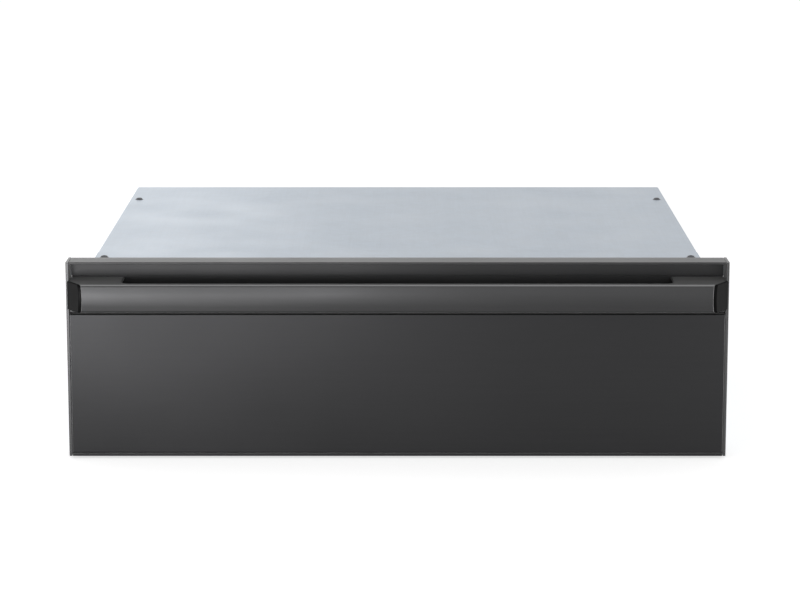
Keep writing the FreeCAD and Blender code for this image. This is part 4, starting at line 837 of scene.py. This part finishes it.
def pan():
    """The deep-drawn pan: a rolled rim, round foot and a pressed bead round its floor."""
    low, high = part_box("drawer_pan")
    wall = 1.0
    depth = (high.z - low.z) / MM
    # each step of the outline: inset from the rim, height above the foot and corner radius, in mm
    inside = [(150.0, wall, 6.0), (82.0, wall, 14.0), (79.0, wall + 0.5, 15.0), (75.0, wall + 1.4, 16.0),
              (71.0, wall + 1.8, 17.0), (67.0, wall + 1.4, 18.0), (63.0, wall + 0.5, 19.0),
              (60.0, wall, 20.0), (30.0, wall, 26.0)]
    for step in range(9):
        turn = math.pi / 2 * step / 8
        inside.append((27.0 - 14.0 * math.sin(turn), wall + 14.0 - 14.0 * math.cos(turn), 27.0 + step))
    for step in range(6):
        turn = math.pi / 2 * step / 5
        inside.append((13.0 - 2.4 * (1 - math.cos(turn)), depth - 2.4 + 2.4 * math.sin(turn),
                       35.0 - 3.0 * step / 5))
    inside += [(0.5, depth, 12.5), (0.15, depth - 0.15, 12.2)]
    outside = [(0.0, depth - 0.5, 12.0), (0.15, depth - 0.85, 12.2), (0.5, depth - wall, 12.5),
               (9.6, depth - wall, 32.0), (11.2, depth - wall - 0.6, 34.0), (12.0, depth - 2.8, 36.0)]
    for step in range(9):
        turn = math.pi / 2 * step / 8
        outside.append((12.0 + 15.0 * (1 - math.cos(turn)), 15.0 * (1 - math.sin(turn)), 36.0 - step))
    outside += [(60.0, 0.0, 20.0), (63.0, 0.5, 19.0), (67.0, 1.0, 18.0), (75.0, 1.0, 16.0),
                (79.0, 0.5, 15.0), (82.0, 0.0, 14.0), (150.0, 0.0, 6.0)]
    form = bmesh.new()
    skin_rings(form, [ring(high.x - inset * MM, (low.y + inset * MM, high.y - inset * MM),
                           radius * MM, low.z + up * MM) for inset, up, radius in inside + outside])
    piece("deep_drawn_pan", mesh_of("deep_drawn_pan", form, 60), "drawer", "stainless_steel",
          stands_for=("drawer_pan",))


pan()

ELEMENT_RADIUS = 3.25 * MM
ELEMENT_END_X = 27.0 * MM
ELEMENT_REAR = 192.0 * MM


def heating_element():
    """The tubular element, a loop with round bends."""
    low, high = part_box("heating_element")
    side = high.x - ELEMENT_RADIUS
    front = low.y + ELEMENT_RADIUS
    level = (low.z + high.z) / 2
    half = [(ELEMENT_END_X, high.y), (ELEMENT_END_X, ELEMENT_REAR), (side, ELEMENT_REAR), (side, front)]
    corners = [(-x, y, level) for x, y in half] + [(x, y, level) for x, y in half[::-1]]
    route = bpy.data.meshes.new("element_route")
    route.from_pydata(corners, [(i, i + 1) for i in range(len(corners) - 1)], [])
    mesh = grow("round_heating_element", TUBE, route, {
        "Radius": ELEMENT_RADIUS, "Bend": 26.0 * MM, "Finish": FINISH["element_sheath"]})
    mesh.shade_smooth()
    piece("round_heating_element", mesh, "casing", None,
          stands_for=("heating_element",))


heating_element()


def gasket():
    """The soft ring behind the drawer front: a bulb on a flat foot."""
    low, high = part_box("door_gasket")
    section = [(0.0, 0.0), (0.0, 0.7), (1.1, 0.9), (0.7, 1.8), (1.0, 2.8), (1.9, 3.45), (3.0, 3.65),
               (4.1, 3.45), (5.0, 2.8), (5.3, 1.8), (4.9, 0.9), (6.0, 0.7), (6.0, 0.0)]
    form = bmesh.new()
    rings = []
    for across, out in section:
        inset = across * MM
        loop = ring(high.x - inset, (low.z + inset, high.z - inset), (10.0 - across) * MM, 0.0, 12)
        rings.append([Vector((point.x, low.y + out * MM, point.y)) for point in loop])
    skin_rings(form, rings, True)
    piece("bulb_gasket", mesh_of("bulb_gasket", form, 50), "drawer", "silicone",
          stands_for=("door_gasket",))


gasket()


# ---------------------------------------------------------------- ball cages

BALL_RADIUS = 1.6 * MM


def ball_cages():
    """Each retainer strip with round balls in place of the model's faceted ones."""
    round_ball = bmesh.new()
    bmesh.ops.create_icosphere(round_ball, subdivisions=3, radius=BALL_RADIUS)
    for node in [name for name in frame["nodes"] if name.startswith("ball_cage")]:
        parts = loose_parts(node)
        strip = max(parts, key=len)
        places = []
        for corners in parts:
            if corners is not strip:
                low, high = limits(corners)
                places.append(((low + high) / 2, (0.0, 0.0, 1.0)))
        sphere = mesh_of("ball", round_ball.copy(), 180)
        scattered(node + "_balls", sphere, places, BODY_OF[node], "ball_steel")
        bare = form_of(node)
        kept = {tuple(round(value, 6) for value in corner) for corner in strip}
        loose = [vert for vert in bare.verts
                 if tuple(round(value, 6) for value in vert.co) not in kept]
        bmesh.ops.delete(bare, geom=loose, context="VERTS")
        piece(node + "_strip", mesh_of(node + "_strip", bare, 30), BODY_OF[node], "slide_zinc",
              (node,))
    round_ball.free()


ball_cages()


# ---------------------------------------------------------------- control strip

def ribbon(form, near, far, y):
    """A thin raised mark between two rows of (x, z) points, facing the front."""
    rows = [[form.verts.new(Vector((x, depth, z))) for x, z in row] for row, depth in
            ((near, y[0]), (far, y[0]), (far, y[1]), (near, y[1]))]
    last = len(near) - 1
    for first, second in ((0, 1), (1, 2), (2, 3), (3, 0)):
        for i in range(last):
            form.faces.new((rows[first][i], rows[first][i + 1], rows[second][i + 1], rows[second][i]))
    form.faces.new([row[0] for row in rows])
    form.faces.new([row[last] for row in rows][::-1])


def arc(middle, radius, start, end):
    """Points along part of a circle, as (x, z). It runs from one angle to another, in degrees."""
    steps = 28
    turns = [math.radians(start + (end - start) * step / steps) for step in range(steps + 1)]
    return [(middle[0] + radius * math.cos(turn), middle[1] + radius * math.sin(turn)) for turn in turns]


POWER_RING = 1.45 * MM
CLOCK_RING = 1.6 * MM
MARK_LINE = 0.42 * MM
BAR_WIDTH = 1.2 * MM
BAR_PITCH = 1.9 * MM
BAR_FOOT = 1.7 * MM


def button_mark(name):
    """The printed mark on one push button: on and off, one to three bars of heat, or a clock."""
    low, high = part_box("button_" + name)
    x = (low.x + high.x) / 2
    z = (low.z + high.z) / 2
    y = (low.y - 0.03 * MM, low.y + 0.02 * MM)
    line = MARK_LINE
    form = bmesh.new()
    if name == "power":
        ribbon(form, arc((x, z), POWER_RING, 125, 415), arc((x, z), POWER_RING + line, 125, 415), y)
        ribbon(form, [(x - line / 2, z), (x - line / 2, z + 2.1 * MM)],
               [(x + line / 2, z), (x + line / 2, z + 2.1 * MM)], y)
    elif name == "timer":
        ribbon(form, arc((x, z), CLOCK_RING, 0, 360), arc((x, z), CLOCK_RING + line, 0, 360), y)
        ribbon(form, [(x - line / 2, z - line / 2), (x - line / 2, z + 1.2 * MM)],
               [(x + line / 2, z - line / 2), (x + line / 2, z + 1.2 * MM)], y)
        ribbon(form, [(x + line / 2, z - line / 2), (x + 1.1 * MM, z - line / 2)],
               [(x + line / 2, z + line / 2), (x + 1.1 * MM, z + line / 2)], y)
    else:
        bars = {"low": 1, "medium": 2, "high": 3}[name]
        foot = z - BAR_FOOT
        for i in range(3):
            left = x + (i - 1) * BAR_PITCH - BAR_WIDTH / 2
            right = left + BAR_WIDTH
            top = foot + ((1.2 + 1.1 * i) * MM if i < bars else line)
            ribbon(form, [(left, foot), (left, top)], [(right, foot), (right, top)], y)
    piece("mark_" + name, mesh_of("mark_" + name, form, 30), "button_" + name, "printed_white")


for name in ("power", "low", "medium", "high", "timer"):
    button_mark(name)


def lenses():
    """Domed indicator lenses in their holes."""
    profile = [(1.68, -4.0), (1.68, 0.0), (1.55, 0.25), (1.2, 0.48), (0.7, 0.60), (0.2, 0.64)]
    places = []
    for corners in loose_parts("indicator_lenses"):
        low, high = limits(corners)
        places.append((((low.x + high.x) / 2, low.y, (low.z + high.z) / 2), (0.0, -1.0, 0.0)))
    pattern = mesh_of("lens", turned([(r * MM, h * MM) for r, h in profile], 28))
    scattered("domed_lenses", pattern, places, "casing", "indicator_amber",
              stands_for=("indicator_lenses",))


lenses()


# ---------------------------------------------------------------- stage, light and camera

FLOOR_GREY = (0.80, 0.80, 0.80)
WHITE = (1.0, 1.0, 1.0)
FLOOR_GLOW = 0.60
AMBIENT = 0.50
FLOOR_HALF_WIDTH = 30.0


def seen_or_mirrored(tree):
    """One for what the camera sees, directly or by way of glass or a mirror, and nought otherwise."""
    path = tree.nodes.new("ShaderNodeLightPath").outputs
    seen = reckon(tree, "MAXIMUM", path["Is Camera Ray"], path["Is Glossy Ray"])
    return reckon(tree, "MAXIMUM", seen, path["Is Transmission Ray"])


def floor():
    """A wide pale floor. Seen directly or mirrored it is white, and it still takes shadows."""
    form = bmesh.new()
    bmesh.ops.create_grid(form, x_segments=1, y_segments=1, size=FLOOR_HALF_WIDTH)
    mesh = bpy.data.meshes.new("floor")
    form.to_mesh(mesh)
    form.free()
    material, tree, shader, _ = start_finish("pale floor", Base_Color=opaque(FLOOR_GREY),
                                             Roughness=0.9, Emission_Color=opaque(WHITE))
    glow = reckon(tree, "MULTIPLY", seen_or_mirrored(tree), FLOOR_GLOW)
    tree.links.new(glow, shader.inputs["Emission Strength"])
    mesh.materials.append(material)
    object_of("floor", mesh)


def sky():
    """An even surround, white where it is seen or mirrored."""
    world = bpy.data.worlds.new("studio surround")
    bpy.context.scene.world = world
    world.use_nodes = True
    tree = world.node_tree
    strength = place(tree, "ShaderNodeMix", {0: seen_or_mirrored(tree), 2: AMBIENT, 3: 1.0}).outputs[0]
    background = tree.nodes["Background"]
    background.inputs["Color"].default_value = opaque(WHITE)
    tree.links.new(strength, background.inputs["Strength"])


def softbox(name, spot, aim, size, power):
    """A square soft lamp that faces a point."""
    lamp = bpy.data.lights.new(name, "AREA")
    lamp.shape = "RECTANGLE"
    lamp.size = size
    lamp.size_y = size
    lamp.energy = power
    lamp_object = bpy.data.objects.new(name, lamp)
    bpy.context.scene.collection.objects.link(lamp_object)
    lamp_object.location = spot
    lamp_object.rotation_euler = (Vector(aim) - Vector(spot)).to_track_quat("-Z", "Y").to_euler()


def camera():
    """The long lens that looks down at the front from 0.8 m up."""
    lens = bpy.data.cameras.new("camera")
    lens.sensor_fit = "HORIZONTAL"
    lens.sensor_width = 36.0
    lens.lens = 127.36
    eye = bpy.data.objects.new("camera", lens)
    bpy.context.scene.collection.objects.link(eye)
    eye.location = (0.00381, -3.47306, 0.79612)
    eye.rotation_euler = (math.pi / 2 - 0.18922, 0.0, 0.0003)
    bpy.context.scene.camera = eye


floor()
sky()
softbox("left softbox", (-0.45, -1.10, 0.14), (-0.28, -0.30, 0.12), 0.2, 2.9)
softbox("middle softbox", (-0.15, -1.10, 0.18), (-0.12, -0.30, 0.12), 0.2, 1.0)
softbox("high front softbox", (0.30, -1.80, 0.45), (0.0, -0.30, 0.15), 0.9, 2.8)
softbox("low right softbox", (0.65, -0.75, 0.10), (0.30, -0.30, 0.03), 0.16, 0.45)
softbox("far right softbox", (1.20, -0.90, 0.10), (0.28, -0.30, 0.08), 0.3, 0.9)
softbox("rear left softbox", (-1.5, 1.4, 1.4), (-0.2, 0.2, 0.2), 2.2, 4.0)
softbox("back softbox", (-0.82, 1.80, 0.70), (-0.30, 0.20, 0.226), 1.2, 2.0)
camera()
bpy.context.scene.view_settings.view_transform = "Standard"
